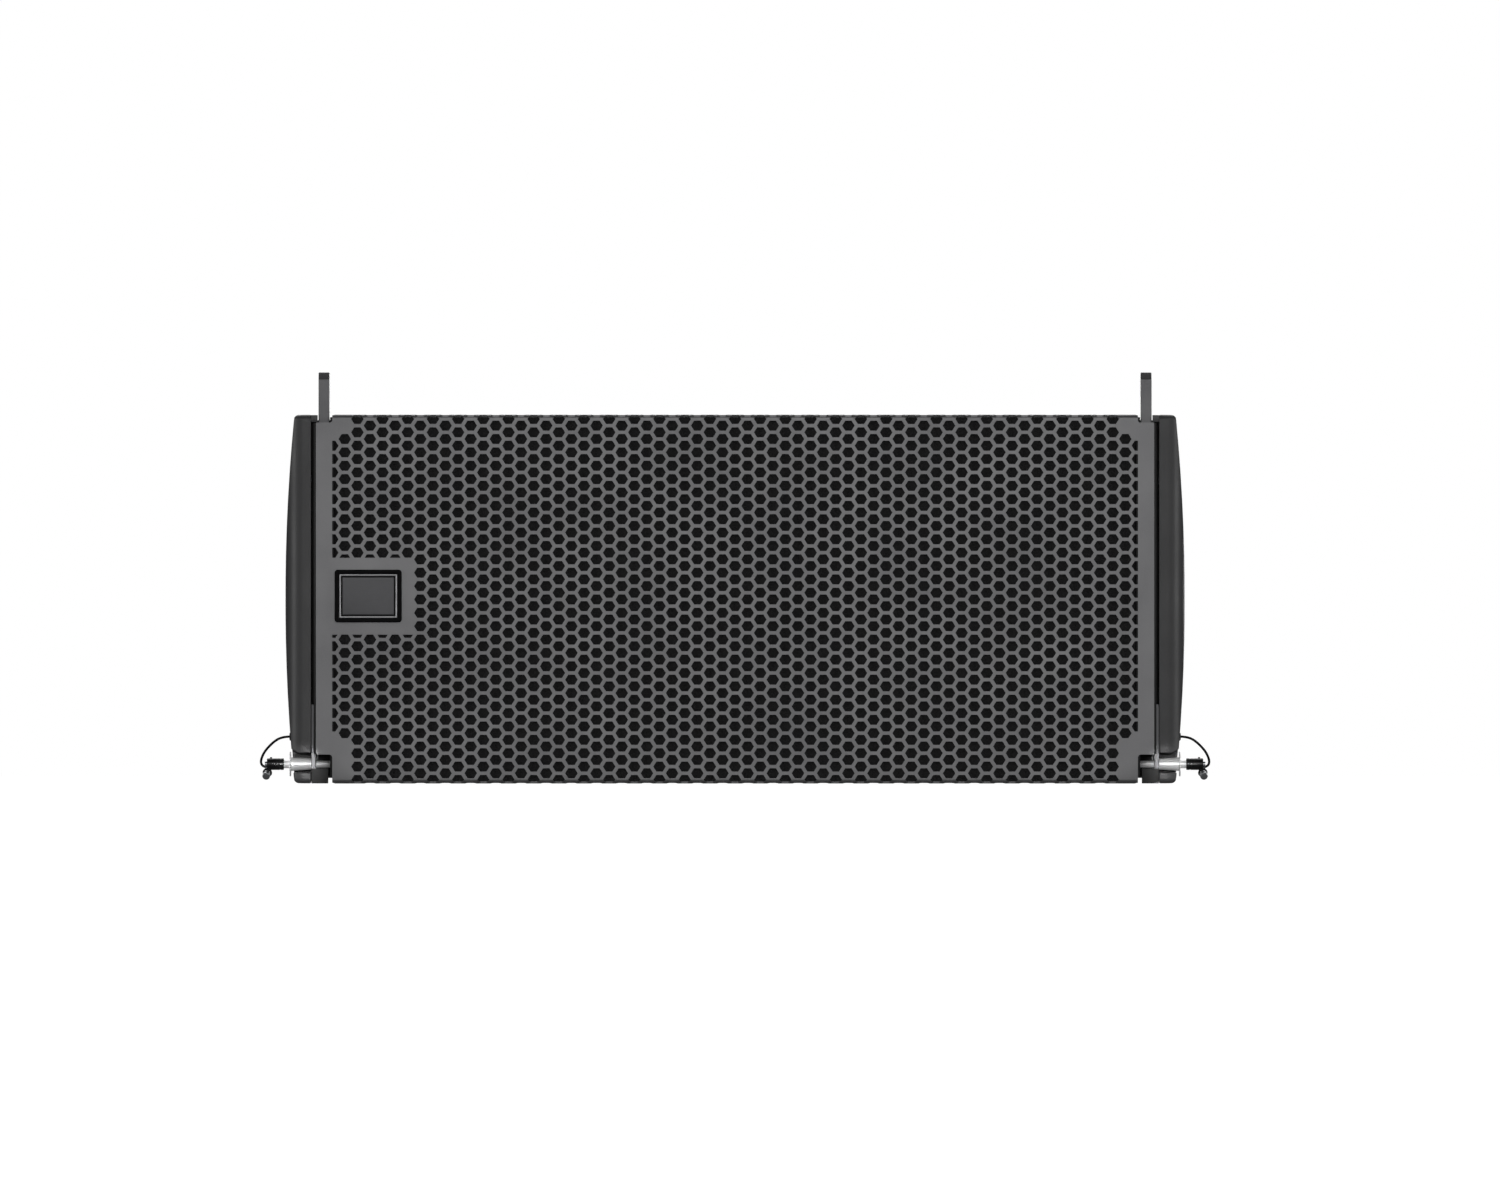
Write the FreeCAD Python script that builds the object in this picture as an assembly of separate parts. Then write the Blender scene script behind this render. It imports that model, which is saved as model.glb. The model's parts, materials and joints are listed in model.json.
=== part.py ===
"""A two-way line array loudspeaker with its rigging, as separate solids, one STEP file per sub-part.

The cabinet is a wedge: its front is vertical and its top and bottom both close towards the rear.
X runs across the cabinet, Y from front to rear, Z up.  The origin is at the middle of the bounding box,
on the level of the lowest edge.  Millimetres.  Sub-parts of the right side (+X) are mirrored for the left.
"""
import FreeCAD
import Part
import math
import os

V = FreeCAD.Vector

# ---------------------------------------------------------------- driving dimensions
FRONT_HEIGHT = 270.0        # height of the front face
DEPTH = 345.0               # front of the badge to the rear edge of the steel spine
SPAN = 657.0                # across the end caps, where they bulge most
TAPER_DEG = 5.0             # slope of the top, and of the bottom
CHEEK = 36.0                # from the timber box out to where an end cap bulges most

# ---------------------------------------------------------------- timber box
PLY = 15.0                  # wall thickness
BAFFLE_T = 18.0
BAFFLE_SETBACK = 20.0       # from the grille's face to the baffle's face
WALL_SETBACK = 12.5         # from the spine's rear edge in to the walls' rear edge
RECESS = 28.0               # how far the rear panel is set in from the walls' rear edge
BRACE_T = 12.0
BRACE_X = 66.0              # from the centre plane to a brace's inner face
BRACE_WINDOW = (130.0, 110.0)   # opening in a brace: depth, height

# ---------------------------------------------------------------- grille, foam and badge
BADGE_PROUD = 2.5           # the badge stands this far out of the grille
GRILLE_T = 1.5
GRILLE_FLANGE = 18.0        # depth of the folded top and bottom edges
FOAM_T = 6.0
NOTCH = (11.9, 6.1, 21.5)   # notches in the grille's corners: width, height at the top and at the bottom
BADGE_SIZE = (48.9, 38.4)
BADGE_INSET = 38.2          # from the grille's left edge in to the badge's centre
BADGE_RISE = 2.2            # badge centre above mid-height
BEZEL_RIM = 3.1
BADGE_PLATE_T = 1.6

# ---------------------------------------------------------------- woofers
WOOFER_GAP = 4.0            # between a basket's flange and the side wall
FLANGE_R = 103.0            # basket flange
CUTOUT_R = 93.0             # hole in the baffle
FLANGE_T = 4.0
SCREW_CIRCLE_R = 98.5
WOOFER_SCREWS = 8
COIL_R = 19.4               # voice coil former, outside
CONE_TRAVEL = 4.0           # each way

# ---------------------------------------------------------------- waveguide and its driver
MOUTH = (116.0, 196.0)      # width and height of the horn's mouth
THROAT_SLOT = (20.0, 160.0)
THROAT_SQUARE = 25.4
HORN_WALL = 3.0
HORN_RIM = 7.0              # flange round the mouth
SLOT_DEPTH = 66.0           # from the baffle's face back to the throat slot
SHAPER_DEPTH = 46.0         # from the throat slot back to the driver
DRIVER_R = 43.0
DRIVER_DEPTH = 44.0
DIAPHRAGM_R = 24.0
DIAPHRAGM_TRAVEL = 0.3      # each way

# ---------------------------------------------------------------- ports
PORT_R = 14.0               # inside
PORT_WALL = 2.0
PORT_LENGTH = 60.0
PORT_INSET = (19.5, 43.0)   # a port's axis, in from the side wall and from the front's top or bottom edge

# ---------------------------------------------------------------- front rigging
STEEL = 3.2                 # plate thickness of the channels and the spine
LINK_T = 8.0
LINK_WIDTH = 28.0
LINK_RISE = 30.6            # how far a raised front link stands above the cabinet
LINK_TRAVEL = 34.0
LINK_CHAMFER = 5.0
TAB = (12.4, 11.3)          # lip folded in at an outer plate's foot: width, height
PLATE_RELIEF = (8.0, 58.0)  # the outer plate's front edge is set back this far, from this height up
SIDE_PLAY = 0.5             # between a front link and the inner plate
GLIDE_T = 1.6
CHANNEL_DEPTH = 40.0        # inside a channel, front edge to web
CHANNEL_INSET = 2.0         # channel ends, below the cabinet's top and above its bottom
PIN_HEIGHT = 14.4           # pin axis above the front bottom edge
PIN_SETBACK = 20.0          # pin axis behind the grille's face
GUIDE_R = 3.0               # guide bolt that the link's slot runs on
GUIDE_DROP = 48.0           # guide bolt below the cabinet's top
RUN_GAP = 0.3               # radial clearance of a slot round its bolt
STACK_GAP = 1.0             # air between two stacked cabinets

# ---------------------------------------------------------------- quick-release pins
PIN_R = 2.5
PIN_HOLE_R = 2.6
PIN_GRIP = 24.0             # shank beyond the shoulder
COLLAR = (4.0, 5.0, 15.0)   # radius at the shoulder, radius at the flange, length
PIN_FLANGE = (9.0, 1.0)     # radius, thickness
PIN_NECK = (3.0, 4.2)       # radius, length
HANDLE = (4.3, 12.4)        # radius, length
BUTTON_R = 2.2
BUTTON_PROUD = 1.6
BUTTON_TRAVEL = 1.4
SPINDLE_R = 1.0
SPINDLE_BORE = 1.2
BALL_R = 0.65
PIN_TRAVEL = 26.0
CROSS_PIN = (0.8, 9.4)      # radius, distance from the handle's inner end
EYE = (2.7, 0.8)            # lanyard eye: ring radius and wire radius
EYE_DROP = 6.2              # eye below the pin's axis
EYE_OUT = 32.3              # eye beyond the shoulder
FERRULE = (2.8, 5.0)        # radius, length
EYE_TO_FERRULE = 2.9

# ---------------------------------------------------------------- lanyards
LANYARD_R = 0.9
GROMMET = (3.0, 1.2)        # radius, height above the surface
FRONT_EXIT = (12.0, 34.4)   # where a front lanyard leaves its cap: behind the pin's axis, height
REAR_EXIT = (3.0, 30.0)     # where the rear lanyard leaves the panel: beyond the eye, above the pin's axis

# ---------------------------------------------------------------- end caps
CAP_WALL = 3.5
CAP_SAGITTA = 6.8           # how much less wide the caps are at the top and bottom edges
CAP_FRONT_ROUND = 14.0
CAP_SETBACK = 9.5           # from the spine's rear edge in to a cap's rear face
CAP_EDGE_R = 4.0
GRIP = (-58.0, 58.0, 96.0, 150.0)   # hand opening: y from, y to, z from, z to
GRIP_REACH = 26.0           # how far the pocket runs up behind the grip
GRIP_BAR = 11.0             # thickness of the grip
POCKET_FLOOR = 3.0
POCKET_Z = (8.4, 22.6)      # pin pocket: floor and ceiling
POCKET_FLARE = (10.0, 5.0)  # the ceiling rises towards the cap's outside: width, height
POCKET_BACK = 16.0          # from the pin's axis back to the pocket's end wall
BOSSES = ((-95.0, 62.0), (-95.0, 208.0), (112.0, 74.0), (112.0, 196.0))
BOSS_R = 8.0

# ---------------------------------------------------------------- rear rigging
EAR_PLAY = 0.4              # between the rear link and each of the spine's ears
SPINE_HALF = 27.0           # half width of its base plate
SPINE_INSET = 4.0           # spine ends, from the taper
SPINE_BOLTS = (8.0, 14.0)   # bolts in from the base plate's side and end
REAR_AXIS_SETBACK = 14.5    # link and pin axes, in from the ears' rear edge
REAR_LINK_WIDTH = 26.0
PIVOT_DROP = 22.0           # pivot below the spine's top
PIVOT_R = 4.0
SPINE_PIN_RISE = 26.0       # rear pin above the spine's bottom
REAR_LINK_TAIL = 10.0       # link beyond its last hole
ANGLE_STEPS = 11            # holes for 0 to 10 degrees

# ---------------------------------------------------------------- rear connectors and crossover
PLATE = (60.0, 190.0, 96.0, 174.0)  # connector plate: x from, x to, z from, z to
PLATE_T = 2.0
SOCKET_R = 13.0
SOCKET_BORE_R = 11.5
SOCKET_POST_R = 4.0
SOCKET_DEPTH = 20.0
SOCKET_PROUD = 4.0
SOCKET_PITCH = 60.0
BOARD = (-228.0, -88.0, 90.0, 180.0)    # crossover board: x from, x to, z from, z to
BOARD_T = 1.6
STANDOFF = 6.0

SKIN_GAP = 0.2              # between pieces that lie on each other
TAN = math.tan(math.radians(TAPER_DEG))
MID_Z = FRONT_HEIGHT / 2
Y_FACE = -DEPTH / 2 + BADGE_PROUD       # the grille's front face
Y_REAR = DEPTH / 2
WALL_REAR = Y_REAR - WALL_SETBACK       # rear edge of the walls
CAP_REAR = Y_REAR - CAP_SETBACK
Y_FOAM = Y_FACE + GRILLE_T + SKIN_GAP
Y_WALLS = Y_FOAM + FOAM_T + SKIN_GAP    # front edges of the walls
Y_BAFFLE = Y_FACE + BAFFLE_SETBACK
Y_PANEL = WALL_REAR - RECESS            # outer face of the rear panel
Y_PANEL_IN = Y_PANEL - PLY
BOX_INSET = GRILLE_T + 0.3              # the box lies this far inside the caps' outline
CAP_OUT = SPAN / 2
BOX_HALF = CAP_OUT - CHEEK              # box half width, outside
INNER_HALF = BOX_HALF - PLY
WOOFER_X = INNER_HALF - WOOFER_GAP - FLANGE_R   # from the centre plane to a woofer's axis
LINK_IN = BOX_HALF + STEEL + SIDE_PLAY  # inner face of a front link
LINK_OUT = LINK_IN + LINK_T
PLATE_IN = LINK_OUT + GLIDE_T + SKIN_GAP * 2    # inner face of a channel's outer plate
PLATE_OUT = PLATE_IN + STEEL
CAP_IN = PLATE_OUT + SKIN_GAP
GRILLE_HALF = PLATE_IN - SKIN_GAP       # half width of the grille
NOTCH_X = GRILLE_HALF - NOTCH[0]        # inner edge of the notches in the grille's corners
FOAM_HALF = min(NOTCH_X - 2, BOX_HALF - 2 * SKIN_GAP)
BADGE_X = BADGE_INSET - GRILLE_HALF
BADGE_Z = MID_Z + BADGE_RISE
Y_PIN = Y_FACE + PIN_SETBACK
Y_CHANNEL = Y_FACE + GRILLE_T + 0.5
Y_WEB = Y_CHANNEL + CHANNEL_DEPTH
SHOULDER = PLATE_OUT + 0.1
Z_GUIDE = FRONT_HEIGHT - GUIDE_DROP
EAR_GAP = LINK_T + 2 * EAR_PLAY
Y_SPINE_AXIS = Y_REAR - REAR_AXIS_SETBACK


def drop(y):
    """How far the cabinet's outline has closed in, at the top and at the bottom, at depth y."""
    return (y - Y_FACE) * TAN


def box(x0, x1, y0, y1, z0, z1):
    """A block between two corners."""
    return Part.makeBox(x1 - x0, y1 - y0, z1 - z0, V(x0, y0, z0))


def along_x(points, x0, x1):
    """A prism across the cabinet from an outline of (y, z) points."""
    ring = [V(x0, y, z) for y, z in points]
    return Part.Face(Part.makePolygon(ring + ring[:1])).extrude(V(x1 - x0, 0, 0))


def wedge(x0, x1, y0, y1, inset=0.0):
    """The cabinet's tapered outline between two depths, drawn in by inset at the top and bottom."""
    low, high = inset, FRONT_HEIGHT - inset
    return along_x([(y0, low + drop(y0)), (y1, low + drop(y1)),
                    (y1, high - drop(y1)), (y0, high - drop(y0))], x0, x1)


def slab(x0, x1, y0, y1, inset, thick, top):
    """A board that follows the cabinet's top or bottom, inset from it."""
    if top:
        return along_x([(y0, FRONT_HEIGHT - inset - drop(y0)), (y1, FRONT_HEIGHT - inset - drop(y1)),
                        (y1, FRONT_HEIGHT - inset - thick - drop(y1)),
                        (y0, FRONT_HEIGHT - inset - thick - drop(y0))], x0, x1)
    return along_x([(y0, inset + drop(y0)), (y1, inset + drop(y1)),
                    (y1, inset + thick + drop(y1)), (y0, inset + thick + drop(y0))], x0, x1)


def rod(radius, start, direction, length):
    """A cylinder from a point along a direction."""
    return Part.makeCylinder(radius, length, V(*start), V(*direction))


def tube(outer, inner, start, direction, length):
    """A hollow cylinder."""
    return rod(outer, start, direction, length).cut(rod(inner, start, direction, length))


def turned(profile, x, y, z):
    """A body of revolution about an axis along Y, from (radius, depth) points; depth grows to the rear."""
    ring = [V(x + r, y + d, z) for r, d in profile]
    return Part.Face(Part.makePolygon(ring + ring[:1])).revolve(V(x, y, z), V(0, 1, 0), 360)


def mirrored(shape):
    """The left-hand copy of a right-hand piece."""
    return shape.mirror(V(0, 0, 0), V(1, 0, 0))


def group(shapes):
    """Separate solids in one node."""
    return Part.makeCompound([s for shape in shapes for s in shape.Solids])


def screw(radius, length, head_r, head_h, start, direction):
    """A button-head screw: its head stands on start, and its shank runs along direction."""
    back = V(*direction) * -head_h
    head = Part.makeCylinder(head_r, head_h, V(*start) + back, V(*direction))
    key = Part.makeCylinder(head_r * 0.45, head_h * 0.6, V(*start) + back, V(*direction))
    return head.cut(key).fuse(rod(radius, start, direction, length)).removeSplitter()


# ---------------------------------------------------------------- timber box
def boards():
    """Top, bottom, side walls, rear panel, baffle and the two inner braces."""
    spine_gap = box(-SPINE_HALF - 1, SPINE_HALF + 1, Y_PANEL, WALL_REAR + 1, -1, FRONT_HEIGHT + 1)
    parts = {}
    for name, top in (("top_panel", True), ("bottom_panel", False)):
        board = slab(-INNER_HALF, INNER_HALF, Y_WALLS, WALL_REAR, BOX_INSET, PLY, top)
        parts[name] = board.cut(spine_gap)
    wall = wedge(INNER_HALF, BOX_HALF, Y_WALLS, WALL_REAR, BOX_INSET)
    pin_well = rod(PIN_R + 2.5, (BOX_HALF, Y_PIN, PIN_HEIGHT), (-1, 0, 0), PLY * 0.7)
    parts["side_wall_right"] = wall.cut(pin_well)
    parts["side_wall_left"] = mirrored(parts["side_wall_right"])
    inside = BOX_INSET + PLY
    rear = wedge(-INNER_HALF, INNER_HALF, Y_PANEL_IN, Y_PANEL, inside)
    for x in socket_places():
        rear = rear.cut(rod(SOCKET_R + 0.5, (x, Y_PANEL_IN - 1, plate_centre()[1]), (0, 1, 0), PLY + 2))
    parts["rear_panel"] = rear
    baffle = wedge(-INNER_HALF, INNER_HALF, Y_BAFFLE, Y_BAFFLE + BAFFLE_T, inside)
    for side in (-1, 1):
        baffle = baffle.cut(rod(CUTOUT_R, (side * WOOFER_X, Y_BAFFLE - 1, MID_Z), (0, 1, 0), BAFFLE_T + 2))
    opening_w, opening_h = MOUTH[0] / 2 + HORN_WALL + 0.5, MOUTH[1] / 2 + HORN_WALL + 0.5
    baffle = baffle.cut(box(-opening_w, opening_w, Y_BAFFLE - 1, Y_BAFFLE + BAFFLE_T + 1,
                            MID_Z - opening_h, MID_Z + opening_h))
    for x, z in port_places():
        baffle = baffle.cut(rod(PORT_R + PORT_WALL, (x, Y_BAFFLE - 1, z), (0, 1, 0), BAFFLE_T + 2))
    parts["baffle"] = baffle
    y0, y1 = Y_BAFFLE + BAFFLE_T, Y_PANEL_IN
    brace = wedge(BRACE_X, BRACE_X + BRACE_T, y0, y1, inside)
    mid = (y0 + y1) / 2
    brace = brace.cut(box(BRACE_X - 1, BRACE_X + BRACE_T + 1, mid - BRACE_WINDOW[0] / 2,
                          mid + BRACE_WINDOW[0] / 2, MID_Z - BRACE_WINDOW[1] / 2, MID_Z + BRACE_WINDOW[1] / 2))
    basket = rod(CUTOUT_R, (WOOFER_X, y0 - 1, MID_Z), (0, 1, 0), 200)
    brace = brace.cut(basket)
    parts["internal_braces"] = group([brace, mirrored(brace)])
    return parts


# ---------------------------------------------------------------- grille and badge
def grille_parts():
    """Folded grille sheet, the foam behind it, and the badge in its bezel."""
    sheet = box(-GRILLE_HALF, GRILLE_HALF, Y_FACE, Y_FACE + GRILLE_T, 0, FRONT_HEIGHT)
    for side in (-1, 1):
        x0, x1 = sorted((side * NOTCH_X, side * (GRILLE_HALF + 1)))
        sheet = sheet.cut(box(x0, x1, Y_FACE - 1, Y_FACE + 3, FRONT_HEIGHT - NOTCH[1], FRONT_HEIGHT + 1))
        sheet = sheet.cut(box(x0, x1, Y_FACE - 1, Y_FACE + 3, -1, NOTCH[2]))
    flange_half = BOX_HALF - SKIN_GAP
    for top in (True, False):
        sheet = sheet.fuse(slab(-flange_half, flange_half, Y_FACE + GRILLE_T / 2, Y_FACE + GRILLE_FLANGE,
                                0, GRILLE_T, top))
    sheet = sheet.common(wedge(-GRILLE_HALF, GRILLE_HALF, Y_FACE, Y_REAR)).removeSplitter()
    foam = wedge(-FOAM_HALF, FOAM_HALF, Y_FOAM, Y_FOAM + FOAM_T, GRILLE_T + 0.5)
    half_w, half_h = BADGE_SIZE[0] / 2, BADGE_SIZE[1] / 2
    bezel = box(BADGE_X - half_w, BADGE_X + half_w, Y_FACE - BADGE_PROUD, Y_FACE,
                BADGE_Z - half_h, BADGE_Z + half_h)
    corners = [e for e in bezel.Edges if abs(e.tangentAt(e.FirstParameter).y) > 0.9]
    bezel = bezel.makeFillet(2.0, corners)
    in_w, in_h = half_w - BEZEL_RIM, half_h - BEZEL_RIM
    bezel = bezel.cut(box(BADGE_X - in_w, BADGE_X + in_w, Y_FACE - BADGE_PROUD - 1, Y_FACE + 1,
                          BADGE_Z - in_h, BADGE_Z + in_h))
    plate = box(BADGE_X - in_w + SKIN_GAP, BADGE_X + in_w - SKIN_GAP, Y_FACE - BADGE_PLATE_T, Y_FACE,
                BADGE_Z - in_h + SKIN_GAP, BADGE_Z + in_h - SKIN_GAP)
    return {"grille": sheet, "grille_foam": foam, "badge_bezel": bezel, "badge_plate": plate}


# ---------------------------------------------------------------- woofers
def surround(x):
    """Rubber half-roll between the basket's rim and the cone."""
    face, lip, wall, rim = -FLANGE_T, 0.8, 0.8, 94.0
    roll_out, roll_in, inner = 89.0, 76.0, 72.0
    mid, top = (roll_out + roll_in) / 2, (roll_out - roll_in) / 2
    def p(r, d):
        return V(x + r, Y_BAFFLE + d, MID_Z)
    edges = [Part.makePolygon([p(rim, face), p(rim, face - lip), p(roll_out, face - lip)]),
             Part.Arc(p(roll_out, face - lip), p(mid, face - lip - top), p(roll_in, face - lip)).toShape(),
             Part.makePolygon([p(roll_in, face - lip), p(inner, face - lip), p(inner, face),
                               p(roll_in + wall, face)]),
             Part.Arc(p(roll_in + wall, face), p(mid, face - top), p(roll_out - wall, face)).toShape(),
             Part.makePolygon([p(roll_out - wall, face), p(rim, face)])]
    wire = Part.Wire(Part.__sortEdges__([e for s in edges for e in s.Edges]))
    return Part.Face(wire).revolve(V(x, Y_BAFFLE, MID_Z), V(0, 1, 0), 360)


def woofer(side):
    """One woofer: basket, motor, cone with dust cap, voice coil, surround and spider."""
    x = side * WOOFER_X
    basket = turned([(FLANGE_R, -FLANGE_T), (FLANGE_R, 0), (92, 0), (92, 14), (67, 43), (67, 49.5), (51, 49.5),
                     (51, 62), (28, 62), (28, 59), (48, 59), (48, 46), (63, 46), (63, 42), (89, 12.7),
                     (89, -FLANGE_T)], x, Y_BAFFLE, MID_Z)
    for k in range(6):
        window = box(x - 15, x + 15, Y_BAFFLE + 18, Y_BAFFLE + 40, MID_Z + 55, MID_Z + 100)
        window.rotate(V(x, Y_BAFFLE, MID_Z), V(0, 1, 0), 60 * k)
        basket = basket.cut(window)
    for k in range(WOOFER_SCREWS):
        basket = basket.cut(rod(2.6, screw_place(x, k, Y_BAFFLE - FLANGE_T - 1), (0, 1, 0), FLANGE_T + 2))
    front_plate = turned([(COIL_R + 1.4, 62), (50, 62), (50, 68), (COIL_R + 1.4, 68)], x, Y_BAFFLE, MID_Z)
    magnet = turned([(27, 68), (52, 68), (52, 84), (27, 84)], x, Y_BAFFLE, MID_Z)
    pole = turned([(6, 62), (COIL_R - 1.4, 62), (COIL_R - 1.4, 84), (48, 84), (48, 90), (6, 90)],
                  x, Y_BAFFLE, MID_Z)
    cone = turned([(75.5, -3.9), (71.5, -3.9), (COIL_R + 0.1, 33), (COIL_R + 0.1, 34.6), (72, -2.8),
                   (75.5, -2.8)], x, Y_BAFFLE, MID_Z)
    cap = turned([(0, 16), (10, 16.8), (20, 20), (28, 26), (27, 26), (19.6, 21), (9.8, 17.8), (0, 17)],
                 x, Y_BAFFLE, MID_Z)
    coil = turned([(COIL_R - 0.8, 28), (COIL_R, 28), (COIL_R, 54), (COIL_R + 0.8, 54), (COIL_R + 0.8, 70),
                   (COIL_R - 0.8, 70)], x, Y_BAFFLE, MID_Z)
    waves = 7
    pitch = (50 - COIL_R - 1) / waves
    front = [(COIL_R + 0.2 + pitch * k / 2, 44.2 - (1.6 if k % 2 else 0)) for k in range(2 * waves + 1)]
    profile = front + [(62.5, 44.4), (62.5, 45.9), (50.5, 45.9)]
    profile += [(r, d + 0.7) for r, d in reversed(front)]
    spider = turned(profile, x, Y_BAFFLE, MID_Z)
    name = "right" if side > 0 else "left"
    return {f"basket_{name}": basket, f"motor_{name}": group([front_plate, magnet, pole]),
            f"cone_{name}": group([cone, cap]), f"voice_coil_{name}": coil,
            f"surround_{name}": surround(x), f"spider_{name}": spider}


def screw_place(x, k, y):
    """Where screw number k of a woofer at x stands."""
    angle = 2 * math.pi * (k + 0.5) / WOOFER_SCREWS
    return (x + SCREW_CIRCLE_R * math.cos(angle), y, MID_Z + SCREW_CIRCLE_R * math.sin(angle))


# ---------------------------------------------------------------- high-frequency section
def rectangle(width, height, y):
    """An upright rectangular wire at depth y, centred on the cabinet's axis."""
    w, h = width / 2, height / 2
    return Part.makePolygon([V(-w, y, MID_Z - h), V(w, y, MID_Z - h), V(w, y, MID_Z + h), V(-w, y, MID_Z + h),
                             V(-w, y, MID_Z - h)])


def horn(grow):
    """The air path from the mouth to the driver, or the horn's outside when grown by a wall."""
    y_mouth, y_slot = Y_BAFFLE - FLANGE_T, Y_BAFFLE + SLOT_DEPTH
    y_end = y_slot + SHAPER_DEPTH
    g = 2 * grow
    flare = Part.makeLoft([rectangle(MOUTH[0] + g, MOUTH[1] + g, y_mouth),
                           rectangle(THROAT_SLOT[0] + g, THROAT_SLOT[1] + g, y_slot)], True, True)
    shaper = Part.makeLoft([rectangle(THROAT_SLOT[0] + g, THROAT_SLOT[1] + g, y_slot),
                            rectangle(THROAT_SQUARE + g, THROAT_SQUARE + g, y_end)], True, True)
    return flare.fuse(shaper)


def high_frequency():
    """Moulded waveguide and the compression driver bolted to it."""
    y_mouth = Y_BAFFLE - FLANGE_T
    y_end = Y_BAFFLE + SLOT_DEPTH + SHAPER_DEPTH
    rim_w, rim_h = MOUTH[0] / 2 + HORN_RIM, MOUTH[1] / 2 + HORN_RIM
    rim = box(-rim_w, rim_w, y_mouth, Y_BAFFLE, MID_Z - rim_h, MID_Z + rim_h)
    plate = box(-32, 32, y_end - 5, y_end, MID_Z - 32, MID_Z + 32)
    guide = horn(HORN_WALL).fuse(rim).fuse(plate).cut(horn(0)).removeSplitter()
    nose = turned([(THROAT_SQUARE / 2, 0), (36, 0), (36, 6), (THROAT_SQUARE / 2, 6)], 0, y_end, MID_Z)
    magnet = turned([(DIAPHRAGM_R + 3, 6), (DRIVER_R, 6), (DRIVER_R, 32), (DIAPHRAGM_R + 3, 32)],
                    0, y_end, MID_Z)
    plug_r = DIAPHRAGM_R - 4
    plug = turned([(2, 6), (DIAPHRAGM_R + 3, 6), (DIAPHRAGM_R + 3, 9), (plug_r, 24), (2, 24)], 0, y_end, MID_Z)
    cover = turned([(DIAPHRAGM_R + 3, 32), (34, 32), (34, DRIVER_DEPTH - 3), (30, DRIVER_DEPTH),
                    (0, DRIVER_DEPTH), (0, DRIVER_DEPTH - 3), (DIAPHRAGM_R + 3, DRIVER_DEPTH - 3)],
                   0, y_end, MID_Z)
    start = 24 + 2 * DIAPHRAGM_TRAVEL
    dome = turned([(DIAPHRAGM_R - 2, start), (DIAPHRAGM_R, start), (DIAPHRAGM_R, start + 1.2), (15, start + 5),
                   (0, start + 6.5), (0, start + 5.7), (14.6, start + 4.2)], 0, y_end, MID_Z)
    return {"waveguide": guide, "compression_driver": group([nose, magnet, plug, cover]), "diaphragm": dome}


def port_places():
    """Axes of the four ports, as (x, z)."""
    x, z = INNER_HALF - PORT_INSET[0], MID_Z - PORT_INSET[1]
    return [(side * x, MID_Z + level * z) for side in (-1, 1) for level in (-1, 1)]


def ports():
    """Port tubes behind the corners of the waveguide."""
    outer = PORT_R + PORT_WALL
    return {"port_tubes": group([tube(outer, PORT_R, (x, Y_BAFFLE, z), (0, 1, 0), PORT_LENGTH)
                                 for x, z in port_places()])}


# ---------------------------------------------------------------- front rigging
def plate_yz(x0, thick, points):
    """A flat bar across X from an outline of (y, z) points."""
    return along_x(points, x0, x0 + thick)


def slot_hole(x0, x1, y, z0, z1, radius):
    """An obround hole through a plate, its two arc centres at z0 and z1."""
    length = x1 - x0
    ends = rod(radius, (x0, y, z0), (1, 0, 0), length).fuse(rod(radius, (x0, y, z1), (1, 0, 0), length))
    return ends.fuse(box(x0, x1, y - radius, y + radius, z0, z1))


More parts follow.
